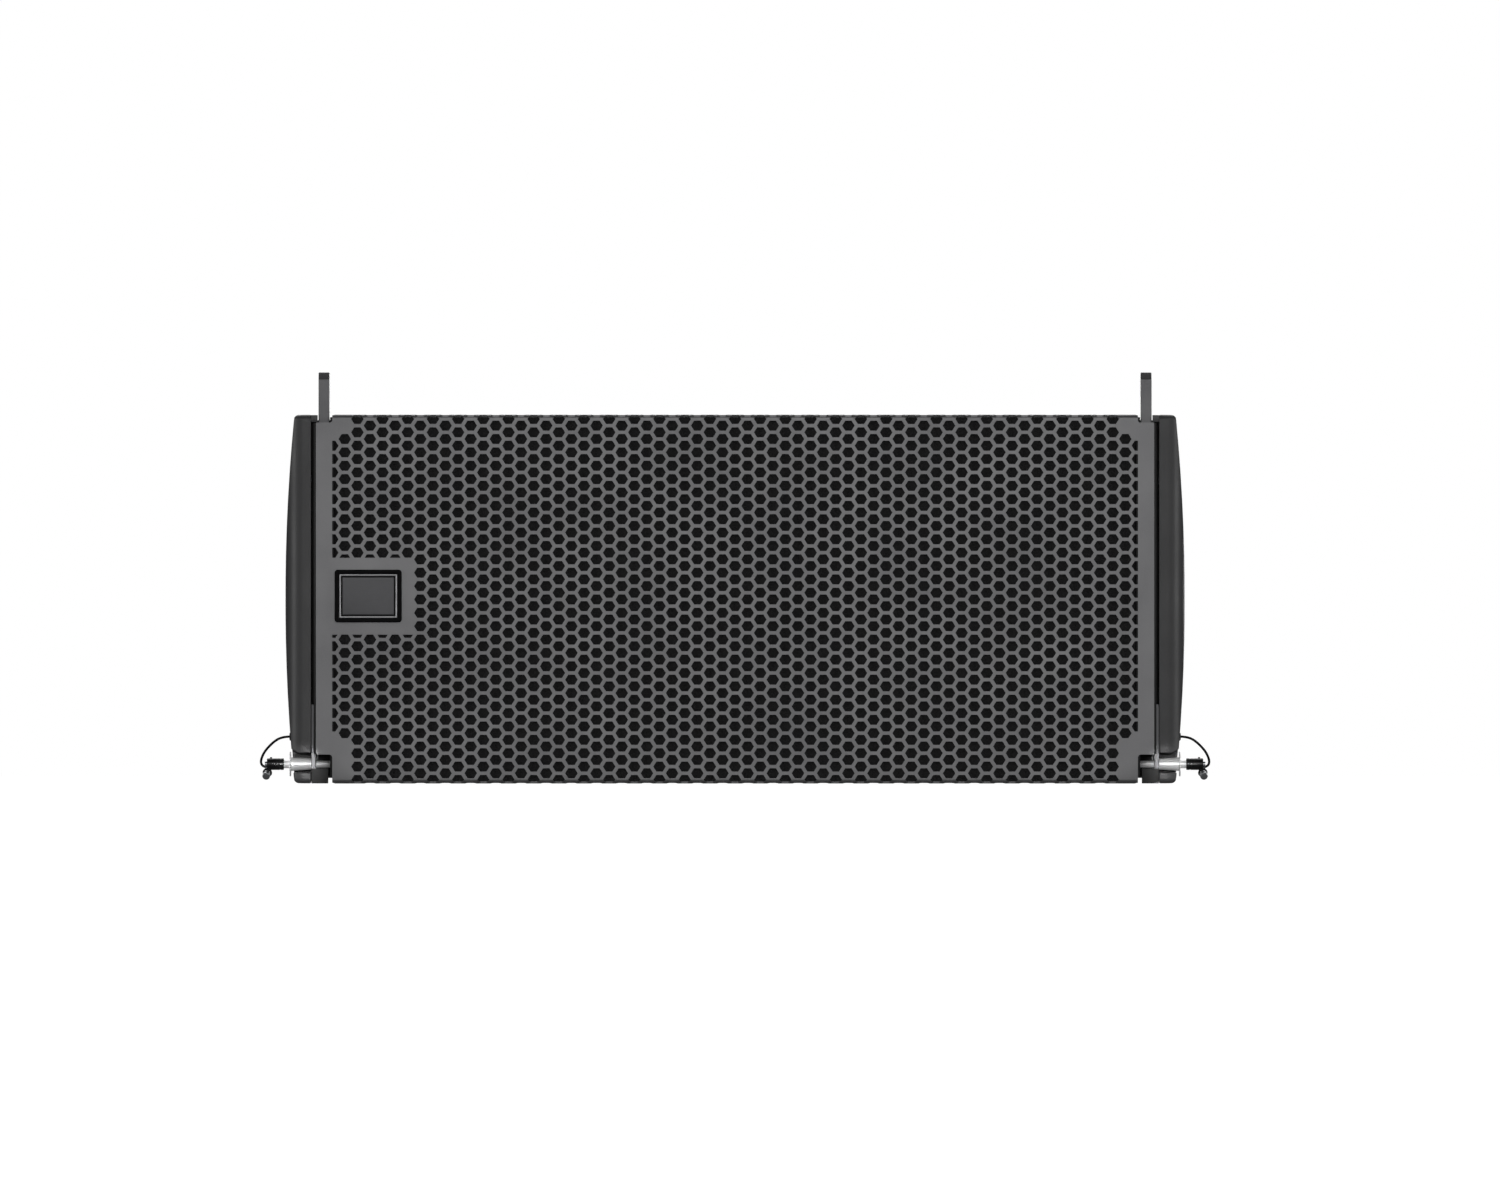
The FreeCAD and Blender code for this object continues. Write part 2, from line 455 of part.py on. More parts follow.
def front_rigging():
    """Right-hand channel, sliding link, glide strip and guide bolt, and their mirror images."""
    outline = wedge(BOX_HALF, PLATE_OUT, Y_CHANNEL, Y_WEB + STEEL, CHANNEL_INSET)
    inner = box(BOX_HALF, BOX_HALF + STEEL, Y_CHANNEL, Y_WEB + STEEL, 5.0, FRONT_HEIGHT)
    outer = box(PLATE_IN, PLATE_OUT, Y_CHANNEL, Y_WEB + STEEL, 0, FRONT_HEIGHT)
    web = box(BOX_HALF, PLATE_OUT, Y_WEB, Y_WEB + STEEL, 0, FRONT_HEIGHT)
    channel = inner.fuse(outer).fuse(web).common(outline)
    foot = drop(Y_CHANNEL) + SKIN_GAP
    channel = channel.fuse(box(PLATE_OUT - TAB[0], PLATE_OUT, Y_CHANNEL, Y_CHANNEL + STEEL, foot, TAB[1]))
    channel = channel.cut(box(PLATE_IN - 0.1, PLATE_OUT + 1, Y_CHANNEL - 1, Y_CHANNEL + PLATE_RELIEF[0],
                              PLATE_RELIEF[1], FRONT_HEIGHT))
    for z, radius in ((PIN_HEIGHT, PIN_HOLE_R), (Z_GUIDE, GUIDE_R + 0.05)):
        channel = channel.cut(rod(radius, (BOX_HALF - 1, Y_PIN, z), (1, 0, 0), PLATE_OUT - BOX_HALF + 2))
    channel = channel.removeSplitter()

    z_top, half = FRONT_HEIGHT + LINK_RISE, LINK_WIDTH / 2
    z_low = Z_GUIDE - GUIDE_R - RUN_GAP - LINK_CHAMFER - 4
    c = LINK_CHAMFER
    link = plate_yz(LINK_IN, LINK_T, [(Y_PIN - half, z_low), (Y_PIN + half, z_low), (Y_PIN + half, z_top - c),
                                      (Y_PIN + half - c, z_top), (Y_PIN - half + c, z_top),
                                      (Y_PIN - half, z_top - c)])
    link = link.cut(rod(PIN_HOLE_R, (LINK_IN - 1, Y_PIN, FRONT_HEIGHT + STACK_GAP + PIN_HEIGHT), (1, 0, 0),
                        LINK_T + 2))
    link = link.cut(slot_hole(LINK_IN - 1, LINK_OUT + 1, Y_PIN, Z_GUIDE, Z_GUIDE + LINK_TRAVEL,
                              GUIDE_R + RUN_GAP))
    glide = box(PLATE_IN - SKIN_GAP - GLIDE_T, PLATE_IN, Y_PIN - half, Y_PIN + half, Z_GUIDE - 30, Z_GUIDE + 30)
    glide = glide.cut(rod(GUIDE_R + 0.1, (PLATE_IN - 5, Y_PIN, Z_GUIDE), (1, 0, 0), 10))
    bolt = screw(GUIDE_R, PLATE_OUT - BOX_HALF, 5.2, 3.0, (PLATE_OUT, Y_PIN, Z_GUIDE), (-1, 0, 0))
    return {"rig_channel_right": channel, "rig_channel_left": mirrored(channel),
            "front_link_right": link, "front_link_left": mirrored(link),
            "link_glides": group([glide, mirrored(glide)]), "guide_bolts": group([bolt, mirrored(bolt)])}


# ---------------------------------------------------------------- quick-release pins and lanyards
def pin_set(shoulder, y, z, eye_at, pull):
    """Pin, handle with its lanyard eye, push button and ferrule.  pull is the lanyard's way through the eye."""
    axis, start = (1, 0, 0), (shoulder - PIN_GRIP, y, z)
    collar_r, collar_big, collar_l = COLLAR
    body = rod(PIN_R, start, axis, PIN_GRIP)
    body = body.fuse(Part.makeCone(collar_r, collar_big, collar_l, V(shoulder, y, z), V(*axis)))
    body = body.fuse(rod(PIN_FLANGE[0], (shoulder + collar_l, y, z), axis, PIN_FLANGE[1]))
    neck_x = shoulder + collar_l + PIN_FLANGE[1]
    body = body.fuse(rod(PIN_NECK[0], (neck_x, y, z), axis, PIN_NECK[1]))
    handle_x = neck_x + PIN_NECK[1]
    body = body.cut(rod(SPINDLE_BORE, (start[0] + 2, y, z), axis, handle_x - start[0]))
    ball_x = start[0] + 4.6
    body = body.cut(rod(BALL_R + 0.05, (ball_x, y, z - PIN_R - 1), (0, 0, 1), 2 * PIN_R + 2))
    balls = [Part.makeSphere(BALL_R, V(ball_x, y, z + s * (SPINDLE_BORE + BALL_R))) for s in (-1, 1)]
    body = group([body.removeSplitter()] + balls)
    handle = rod(HANDLE[0], (handle_x, y, z), axis, HANDLE[1])
    edges = [e for e in handle.Edges if isinstance(e.Curve, Part.Circle)]
    handle = handle.makeChamfer(0.5, edges)
    cross_r, cross_x = CROSS_PIN
    handle = handle.fuse(rod(cross_r, (handle_x + cross_x, y, z), (0, 0, 1), HANDLE[0] + cross_r))
    way = V(*pull).normalize()
    ring = Part.makeTorus(EYE[0], EYE[1], V(*eye_at), way)
    handle = handle.fuse(ring)
    button_in = 8.0
    handle_end = handle_x + HANDLE[1]
    handle = handle.cut(rod(BUTTON_R + 0.1, (handle_end - button_in, y, z), axis, button_in + 1))
    handle = handle.cut(rod(SPINDLE_BORE, (handle_x - 1, y, z), axis, HANDLE[1]))
    head_l = button_in + BUTTON_PROUD - BUTTON_TRAVEL - 0.2
    button_x = handle_end + BUTTON_PROUD - head_l
    button = rod(BUTTON_R, (button_x, y, z), axis, head_l)
    button = button.fuse(rod(SPINDLE_R, (start[0] + 4, y, z), axis, button_x - start[0] - 4))
    ferrule = rod(FERRULE[0], tuple(V(*eye_at) + way * EYE_TO_FERRULE), tuple(way), FERRULE[1])
    ends = [e for e in ferrule.Edges if isinstance(e.Curve, Part.Circle)]
    return body, handle, button, ferrule.makeFillet(0.6, ends)


def rounded_route(points, radius):
    """A round tube along straight runs joined by tangent arcs, each as large as its two runs allow."""
    points = [V(*p) for p in points]
    edges, radii, last = [], [], points[0]
    for a, b, c in zip(points, points[1:], points[2:]):
        into, out = (b - a).normalize(), (c - b).normalize()
        turn = into.getAngle(out)
        reach = 0.45 * min((b - a).Length, (c - b).Length)
        bend = reach / math.tan(turn / 2)
        radii.append(round(bend, 1))
        first, end = b - into * reach, b + out * reach
        centre = b + (out - into).normalize() * (bend / math.cos(turn / 2))
        middle = centre + (b - centre).normalize() * bend
        edges += [Part.LineSegment(last, first).toShape(), Part.Arc(first, middle, end).toShape()]
        last = end
    edges.append(Part.LineSegment(last, points[-1]).toShape())
    path = Part.Wire(edges)
    way = (points[1] - points[0]).normalize()
    ring = Part.Wire([Part.makeCircle(radius, points[0], way)])
    swept = path.makePipeShell([ring], True, False)
    print("lanyard length", round(path.Length, 1), "volume ratio",
          round(swept.Volume / (math.pi * radius ** 2 * path.Length), 4), "arc radii", radii)
    return swept


def cap_width(z):
    """How far out an end cap reaches at height z: an arc between its two ends."""
    radius = (MID_Z ** 2 + CAP_SAGITTA ** 2) / (2 * CAP_SAGITTA)
    return CAP_OUT - radius + math.sqrt(radius ** 2 - (z - MID_Z) ** 2)


def lanyard_end(eye, last):
    """The lanyard's way through the eye, and the point where the ferrule ends it."""
    pull = (V(*eye) - V(*last)).normalize()
    return tuple(pull), tuple(V(*eye) + pull * EYE_TO_FERRULE)


def lanyard_exit():
    """Where the right-hand front lanyard leaves its cap, as (y, z)."""
    return Y_PIN + FRONT_EXIT[0], FRONT_EXIT[1]


def pins():
    """The three quick-release pins with their lanyards and the grommets that the lanyards leave by."""
    parts = {}
    exit_y, exit_z = lanyard_exit()
    skin = cap_width(exit_z)
    ex, ey, ez = SHOULDER + EYE_OUT, Y_PIN, PIN_HEIGHT - EYE_DROP
    last = (ex - 0.9, ey + 8.0, ez + 3.0)
    pull, tail = lanyard_end((ex, ey, ez), last)
    route = [(skin + GROMMET[1], exit_y, exit_z), (skin + 7.0, exit_y + 0.8, exit_z - 0.2),
             (ex - 3.4, ey + 17.0, exit_z - 4.4), (ex + 3.6, ey + 20.4, exit_z - 12.2),
             (ex + 5.8, ey + 16.0, exit_z - 20.6), last, tail]
    lanyard = rounded_route(route, LANYARD_R)
    body, handle, button, ferrule = pin_set(SHOULDER, Y_PIN, PIN_HEIGHT, (ex, ey, ez), pull)
    grommet = rod(GROMMET[0], (skin - CAP_WALL, exit_y, exit_z), (1, 0, 0), CAP_WALL + GROMMET[1])
    grommet = grommet.cut(rod(LANYARD_R, (skin - 10, exit_y, exit_z), (1, 0, 0), 10))
    for name, shape in (("pin", body), ("pin_handle", handle), ("pin_button", button), ("ferrule", ferrule),
                        ("lanyard", lanyard)):
        parts[f"{name}_right"] = shape
        parts[f"{name}_left"] = mirrored(shape)

    shoulder = EAR_GAP / 2 + STEEL + 0.1
    z = spine_ends()[0] + SPINE_PIN_RISE
    ex, ey, ez = shoulder + EYE_OUT, Y_SPINE_AXIS, z - EYE_DROP
    last = (ex - 0.9, ey - 8.0, ez + 4.5)
    pull, tail = lanyard_end((ex, ey, ez), last)
    rx, rz = ex + REAR_EXIT[0], z + REAR_EXIT[1]
    route = [(rx, Y_PANEL + GROMMET[1], rz), (rx, Y_PANEL + 7, rz - 0.4), (rx + 0.6, Y_PANEL + 14.5, rz - 5),
             (rx + 1.4, Y_PANEL + 18.5, rz - 14), (rx - 0.4, Y_PANEL + 15, rz - 23.4), last, tail]
    parts["lanyard_rear"] = rounded_route(route, LANYARD_R)
    body, handle, button, ferrule = pin_set(shoulder, Y_SPINE_AXIS, z, (ex, ey, ez), pull)
    parts.update({"pin_rear": body, "pin_handle_rear": handle, "pin_button_rear": button,
                  "ferrule_rear": ferrule})
    rear_grommet = rod(GROMMET[0], (rx, Y_PANEL, rz), (0, 1, 0), GROMMET[1])
    parts["lanyard_grommets"] = group([grommet, mirrored(grommet), rear_grommet])
    return parts


# ---------------------------------------------------------------- end caps
def cap_form(shrink):
    """The end cap's outer form, or its hollow when shrunk by the wall."""
    radius = (MID_Z ** 2 + CAP_SAGITTA ** 2) / (2 * CAP_SAGITTA) - shrink
    front, rear = Y_FACE + 0.5 + shrink, CAP_REAR - shrink
    inner = BOX_HALF + SKIN_GAP * 2
    out, turn = CAP_OUT - shrink, CAP_FRONT_ROUND
    corner = V(out - turn, front + turn, 0)
    lean = turn * math.sqrt(0.5)
    plan = [Part.makeLine(V(inner, front, 0), V(out - turn, front, 0)),
            Part.Arc(V(out - turn, front, 0), corner + V(lean, -lean, 0), V(out, front + turn, 0)).toShape(),
            Part.makeLine(V(out, front + turn, 0), V(out, rear - turn, 0)),
            Part.Arc(V(out, rear - turn, 0), V(out - turn + lean, rear - turn + lean, 0),
                     V(out - turn, rear, 0)).toShape(),
            Part.makeLine(V(out - turn, rear, 0), V(inner, rear, 0)),
            Part.makeLine(V(inner, rear, 0), V(inner, front, 0))]
    body = Part.Face(Part.Wire(plan)).extrude(V(0, 0, FRONT_HEIGHT))
    barrel = Part.makeCylinder(radius, DEPTH, V(out - radius, -DEPTH / 2, MID_Z), V(0, 1, 0))
    return body.common(barrel).common(wedge(0, SPAN, -DEPTH / 2, Y_REAR, shrink))


def cap_edges(solid):
    """The outer edges along a cap's sloping top and bottom."""
    found = []
    for edge in solid.Edges:
        low = edge.BoundBox
        mid = edge.valueAt((edge.FirstParameter + edge.LastParameter) / 2)
        from_top = FRONT_HEIGHT - drop(mid.y) - mid.z
        on_slope = min(abs(from_top), abs(mid.z - drop(mid.y))) < 0.05
        if on_slope and low.XMax > CAP_OUT - CAP_SAGITTA - CAP_FRONT_ROUND and mid.x > BOX_HALF + 2:
            if low.YLength > 1 or low.XLength > 1:
                found.append(edge)
    return found


def end_cap():
    """Moulded end cap: a hollow cheek with a hand grip and a pocket for the quick-release pin."""
    outer = cap_form(0)
    outer = outer.makeFillet(CAP_EDGE_R, cap_edges(outer))
    hollow = cap_form(CAP_WALL).common(box(0, CAP_OUT, -DEPTH, DEPTH, 0, FRONT_HEIGHT))
    hollow = hollow.fuse(cap_form(CAP_WALL).translated(V(-CAP_WALL, 0, 0)))
    y0, y1, z0, z1 = GRIP
    reach = z1 + GRIP_REACH
    floor_x = BOX_HALF + 1 + POCKET_FLOOR
    cup = box(floor_x - POCKET_FLOOR, CAP_OUT + 5, y0 - CAP_WALL, y1 + CAP_WALL, z0 - CAP_WALL, reach + CAP_WALL)
    pin_y = Y_PIN + POCKET_BACK
    pin_cup = box(CAP_IN, CAP_OUT + 5, Y_FACE, pin_y + CAP_WALL, 0, POCKET_Z[1] + POCKET_FLARE[1] + CAP_WALL)
    bosses = [rod(BOSS_R, (BOX_HALF + 0.5, y, z), (1, 0, 0), 60) for y, z in BOSSES]
    exit_y, exit_z = lanyard_exit()
    eyelet = rod(GROMMET[0] + 3, (CAP_OUT - 14, exit_y, exit_z), (1, 0, 0), 20)
    hollow = hollow.cut(cup).cut(pin_cup).cut(eyelet)
    for boss in bosses:
        hollow = hollow.cut(boss)
    cap = outer.cut(hollow)
    bar_x = CAP_OUT - GRIP_BAR
    cap = cap.cut(box(floor_x, CAP_OUT + 5, y0, y1, z0, z1))
    cap = cap.cut(box(floor_x, bar_x, y0, y1, z1 - 1, reach))
    flare_w, flare_h = POCKET_FLARE
    scoop = [V(0, Y_FACE - 5, POCKET_Z[0]), V(CAP_OUT + 5, Y_FACE - 5, POCKET_Z[0]),
             V(CAP_OUT + 5, Y_FACE - 5, POCKET_Z[1] + flare_h), V(CAP_OUT, Y_FACE - 5, POCKET_Z[1] + flare_h),
             V(CAP_OUT - flare_w, Y_FACE - 5, POCKET_Z[1]), V(0, Y_FACE - 5, POCKET_Z[1])]
    scoop = Part.Face(Part.makePolygon(scoop + scoop[:1])).extrude(V(0, pin_y - Y_FACE + 5, 0))
    cap = cap.cut(scoop)
    cap = cap.cut(box(0, CAP_IN, Y_FACE - 5, Y_WEB + STEEL + 0.6, -5, FRONT_HEIGHT + 5))
    cap = cap.cut(rod(5.6, (CAP_IN - 1, Y_PIN, Z_GUIDE), (1, 0, 0), 5))
    cap = cap.cut(rod(GROMMET[0], (cap_width(exit_z) - CAP_WALL, exit_y, exit_z), (1, 0, 0), 30))
    for y, z in BOSSES:
        seat = cap_width(z) - 6
        cap = cap.cut(rod(5.2, (seat, y, z), (1, 0, 0), 20)).cut(rod(2.6, (BOX_HALF, y, z), (1, 0, 0), 60))
    return cap.removeSplitter()


# ---------------------------------------------------------------- rear rigging and connectors
def spine_ends():
    """Bottom and top of the rear spine."""
    low = SPINE_INSET + drop(Y_REAR)
    return low, FRONT_HEIGHT - low


def rear_rigging():
    """Spine with two ears, the folding rear link with its angle holes, and the pivot bolt."""
    low, high = spine_ends()
    ear_in, ear_out = EAR_GAP / 2, EAR_GAP / 2 + STEEL
    spine = box(-SPINE_HALF, SPINE_HALF, Y_PANEL, Y_PANEL + STEEL, low, high)
    for x in (-ear_out, ear_in):
        spine = spine.fuse(box(x, x + STEEL, Y_PANEL, Y_REAR, low, high))
    z_pin, z_pivot = low + SPINE_PIN_RISE, high - PIVOT_DROP
    for z, radius in ((z_pin, PIN_HOLE_R), (z_pivot, PIVOT_R + 0.05)):
        spine = spine.cut(rod(radius, (-ear_out - 1, Y_SPINE_AXIS, z), (1, 0, 0), 2 * ear_out + 2))
    for x, z in spine_bolt_places():
        spine = spine.cut(rod(3.2, (x, Y_PANEL - 1, z), (0, 1, 0), STEEL + 2))
    spine = spine.removeSplitter()

    half, x0 = REAR_LINK_WIDTH / 2, -LINK_T / 2
    bottom = z_pivot - link_lengths()[1] - REAR_LINK_TAIL
    c = LINK_CHAMFER
    y = Y_SPINE_AXIS
    link = plate_yz(x0, LINK_T, [(y - half, bottom + c), (y - half + c, bottom), (y + half - c, bottom),
                                 (y + half, bottom + c), (y + half, z_pivot), (y - half, z_pivot)])
    link = link.fuse(rod(half, (x0, y, z_pivot), (1, 0, 0), LINK_T))
    link = link.cut(rod(PIVOT_R + 0.08, (x0 - 1, y, z_pivot), (1, 0, 0), LINK_T + 2))
    for hole_y, hole_z in link_holes():
        link = link.cut(rod(PIN_HOLE_R, (x0 - 1, hole_y, hole_z), (1, 0, 0), LINK_T + 2))
    link = link.removeSplitter()
    bolt = screw(PIVOT_R, 2 * ear_out + 1, 6.5, 3.5, (ear_out, y, z_pivot), (-1, 0, 0))
    nut = Part.makeCylinder(6.0, 3.2, V(-ear_out - 3.2, y, z_pivot), V(1, 0, 0))
    nut = nut.cut(rod(PIVOT_R + 0.02, (-ear_out - 4, y, z_pivot), (1, 0, 0), 5))
    return {"rear_spine": spine, "rear_link": link, "rear_pivot_bolt": group([bolt, nut])}


def link_lengths():
    """Pivot-to-hole distance for the widest splay and for parallel cabinets."""
    low, high = spine_ends()
    parallel = (FRONT_HEIGHT + STACK_GAP + low + SPINE_PIN_RISE) - (high - PIVOT_DROP)
    arm = Y_SPINE_AXIS - Y_PIN
    return parallel - arm * math.sin(math.radians(2 * TAPER_DEG)), parallel


def link_holes():
    """The rear link's angle holes, in two staggered rows, as (y, z) with the link hanging down."""
    shortest, longest = link_lengths()
    pivot = spine_ends()[1] - PIVOT_DROP
    step = (longest - shortest) / (ANGLE_STEPS - 1)
    return [(Y_SPINE_AXIS + (5.0 if k % 2 else -5.0), pivot - longest + step * k) for k in range(ANGLE_STEPS)]


def spine_bolt_places():
    """Where bolts hold the spine to the rear panel, as (x, z)."""
    low, high = spine_ends()
    x, end = SPINE_HALF - SPINE_BOLTS[0], SPINE_BOLTS[1]
    return [(side * x, z) for side in (-1, 1) for z in (low + end, MID_Z, high - end)]


def plate_centre():
    """Centre of the connector plate, as (x, z)."""
    return (PLATE[0] + PLATE[1]) / 2, (PLATE[2] + PLATE[3]) / 2


def socket_places():
    """X of the two speaker sockets."""
    return [plate_centre()[0] + side * SOCKET_PITCH / 2 for side in (-1, 1)]


def connectors():
    """Steel connector plate and its two round speaker sockets."""
    x0, x1, z0, z1 = PLATE
    plate = box(x0, x1, Y_PANEL, Y_PANEL + PLATE_T, z0, z1)
    corners = [e for e in plate.Edges if abs(e.tangentAt(e.FirstParameter).y) > 0.9]
    plate = plate.makeFillet(5.0, corners)
    sockets = []
    z = plate_centre()[1]
    for x in socket_places():
        plate = plate.cut(rod(SOCKET_R + 0.2, (x, Y_PANEL - 1, z), (0, 1, 0), PLATE_T + 2))
        back = PLATE_T + SOCKET_PROUD - SOCKET_DEPTH
        front = PLATE_T + SOCKET_PROUD
        sockets.append(turned([(0, back - 2), (SOCKET_R, back - 2), (SOCKET_R, PLATE_T + SKIN_GAP / 2),
                               (SOCKET_R + 4, PLATE_T + SKIN_GAP / 2), (SOCKET_R + 4, front),
                               (SOCKET_BORE_R, front), (SOCKET_BORE_R, back), (SOCKET_POST_R, back),
                               (SOCKET_POST_R, front - 3), (0, front - 3)], x, Y_PANEL, z))
    for x, z in plate_screw_places():
        plate = plate.cut(rod(1.7, (x, Y_PANEL - 1, z), (0, 1, 0), PLATE_T + 2))
    return {"connector_plate": plate, "speaker_sockets": group(sockets)}


def plate_screw_places():
    """Where screws hold the connector plate, as (x, z)."""
    x0, x1, z0, z1 = PLATE
    inset = 7.0
    return [(x, z) for x in (x0 + inset, x1 - inset) for z in (z0 + inset, z1 - inset)]


def crossover():
    """Passive crossover board on stand-offs behind the rear panel, and the parts on it."""
    x0, x1, z0, z1 = BOARD
    face = Y_PANEL_IN - STANDOFF
    board = box(x0, x1, face - BOARD_T, face, z0, z1)
    top = face - BOARD_T
    inset = 7.0
    posts = [rod(3.0, (x, face, z), (0, 1, 0), STANDOFF) for x in (x0 + inset, x1 - inset)
             for z in (z0 + inset, z1 - inset)]
    coils = [tube(19, 8, (x0 + 30, top, z0 + 60), (0, -1, 0), 22),
             tube(15, 6, (x0 + 75, top, z0 + 28), (0, -1, 0), 18)]
    cans = [rod(8, (x0 + 66, top - 8.1, z0 + 70), (1, 0, 0), 34),
            rod(6, (x0 + 106, top - 6.1, z0 + 12), (0, 0, 1), 30),
            rod(6, (x0 + 122, top - 6.1, z0 + 12), (0, 0, 1), 30)]
    blocks = [box(x0 + 108, x0 + 130, top - 9, top, z0 + 56 + k * 13, z0 + 65 + k * 13) for k in range(2)]
    return {"crossover_board": group([board] + posts), "crossover_parts": group(coils + cans + blocks)}


def fasteners():
    """Screws and bolts, grouped by what they hold."""
    woofer_screws = []
    for side in (-1, 1):
        for k in range(WOOFER_SCREWS):
            start = screw_place(side * WOOFER_X, k, Y_BAFFLE - FLANGE_T)
            woofer_screws.append(screw(2.4, 16, 4.2, 2.4, start, (0, 1, 0)))
    rigging = [screw(3.0, STEEL + 11, 5.0, 2.6, (x, Y_PANEL + STEEL, z), (0, -1, 0))
               for x, z in spine_bolt_places()]
    panel = [screw(1.6, PLATE_T + 8, 3.0, 1.6, (x, Y_PANEL + PLATE_T, z), (0, -1, 0))
             for x, z in plate_screw_places()]
    for y, z in BOSSES:
        seat = cap_width(z) - 6
        cap_screw = screw(2.5, seat - BOX_HALF + 8, 5.0, 3.0, (seat, y, z), (-1, 0, 0))
        panel += [cap_screw, mirrored(cap_screw)]
    return {"woofer_screws": group(woofer_screws), "rigging_bolts": group(rigging), "panel_screws": group(panel)}


def drill(parts):
    """Cuts the screws' own holes in the timber that they bite into."""
    for node, tools in (("baffle", "woofer_screws"), ("rear_panel", "rigging_bolts"),
                        ("rear_panel", "panel_screws"), ("side_wall_right", "panel_screws"),
                        ("side_wall_left", "panel_screws")):
        for tool in parts[tools].Solids:
            if parts[node].BoundBox.intersect(tool.BoundBox):
                parts[node] = parts[node].cut(tool)


def main():
    """Builds every sub-part and writes one STEP file for each."""
    parts = {}
    for made in (boards(), grille_parts(), woofer(-1), woofer(1), high_frequency(), ports(),
                 front_rigging(), pins(), rear_rigging(), connectors(), crossover(), fasteners()):
        parts.update(made)
    parts["shoulder_bolts"] = group([parts.pop("guide_bolts"), parts.pop("rear_pivot_bolt")])
    cap = end_cap()
    parts["end_cap_right"], parts["end_cap_left"] = cap, mirrored(cap)
    drill(parts)
    os.makedirs("parts", exist_ok=True)
    for name, shape in sorted(parts.items()):
        shape.exportStep(f"parts/{name}.step")
    print(len(parts), "sub-parts")


main()
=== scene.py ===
"""Line array loudspeaker: perforated grille, end caps, rigging, quick-release pins, rear panel and studio."""

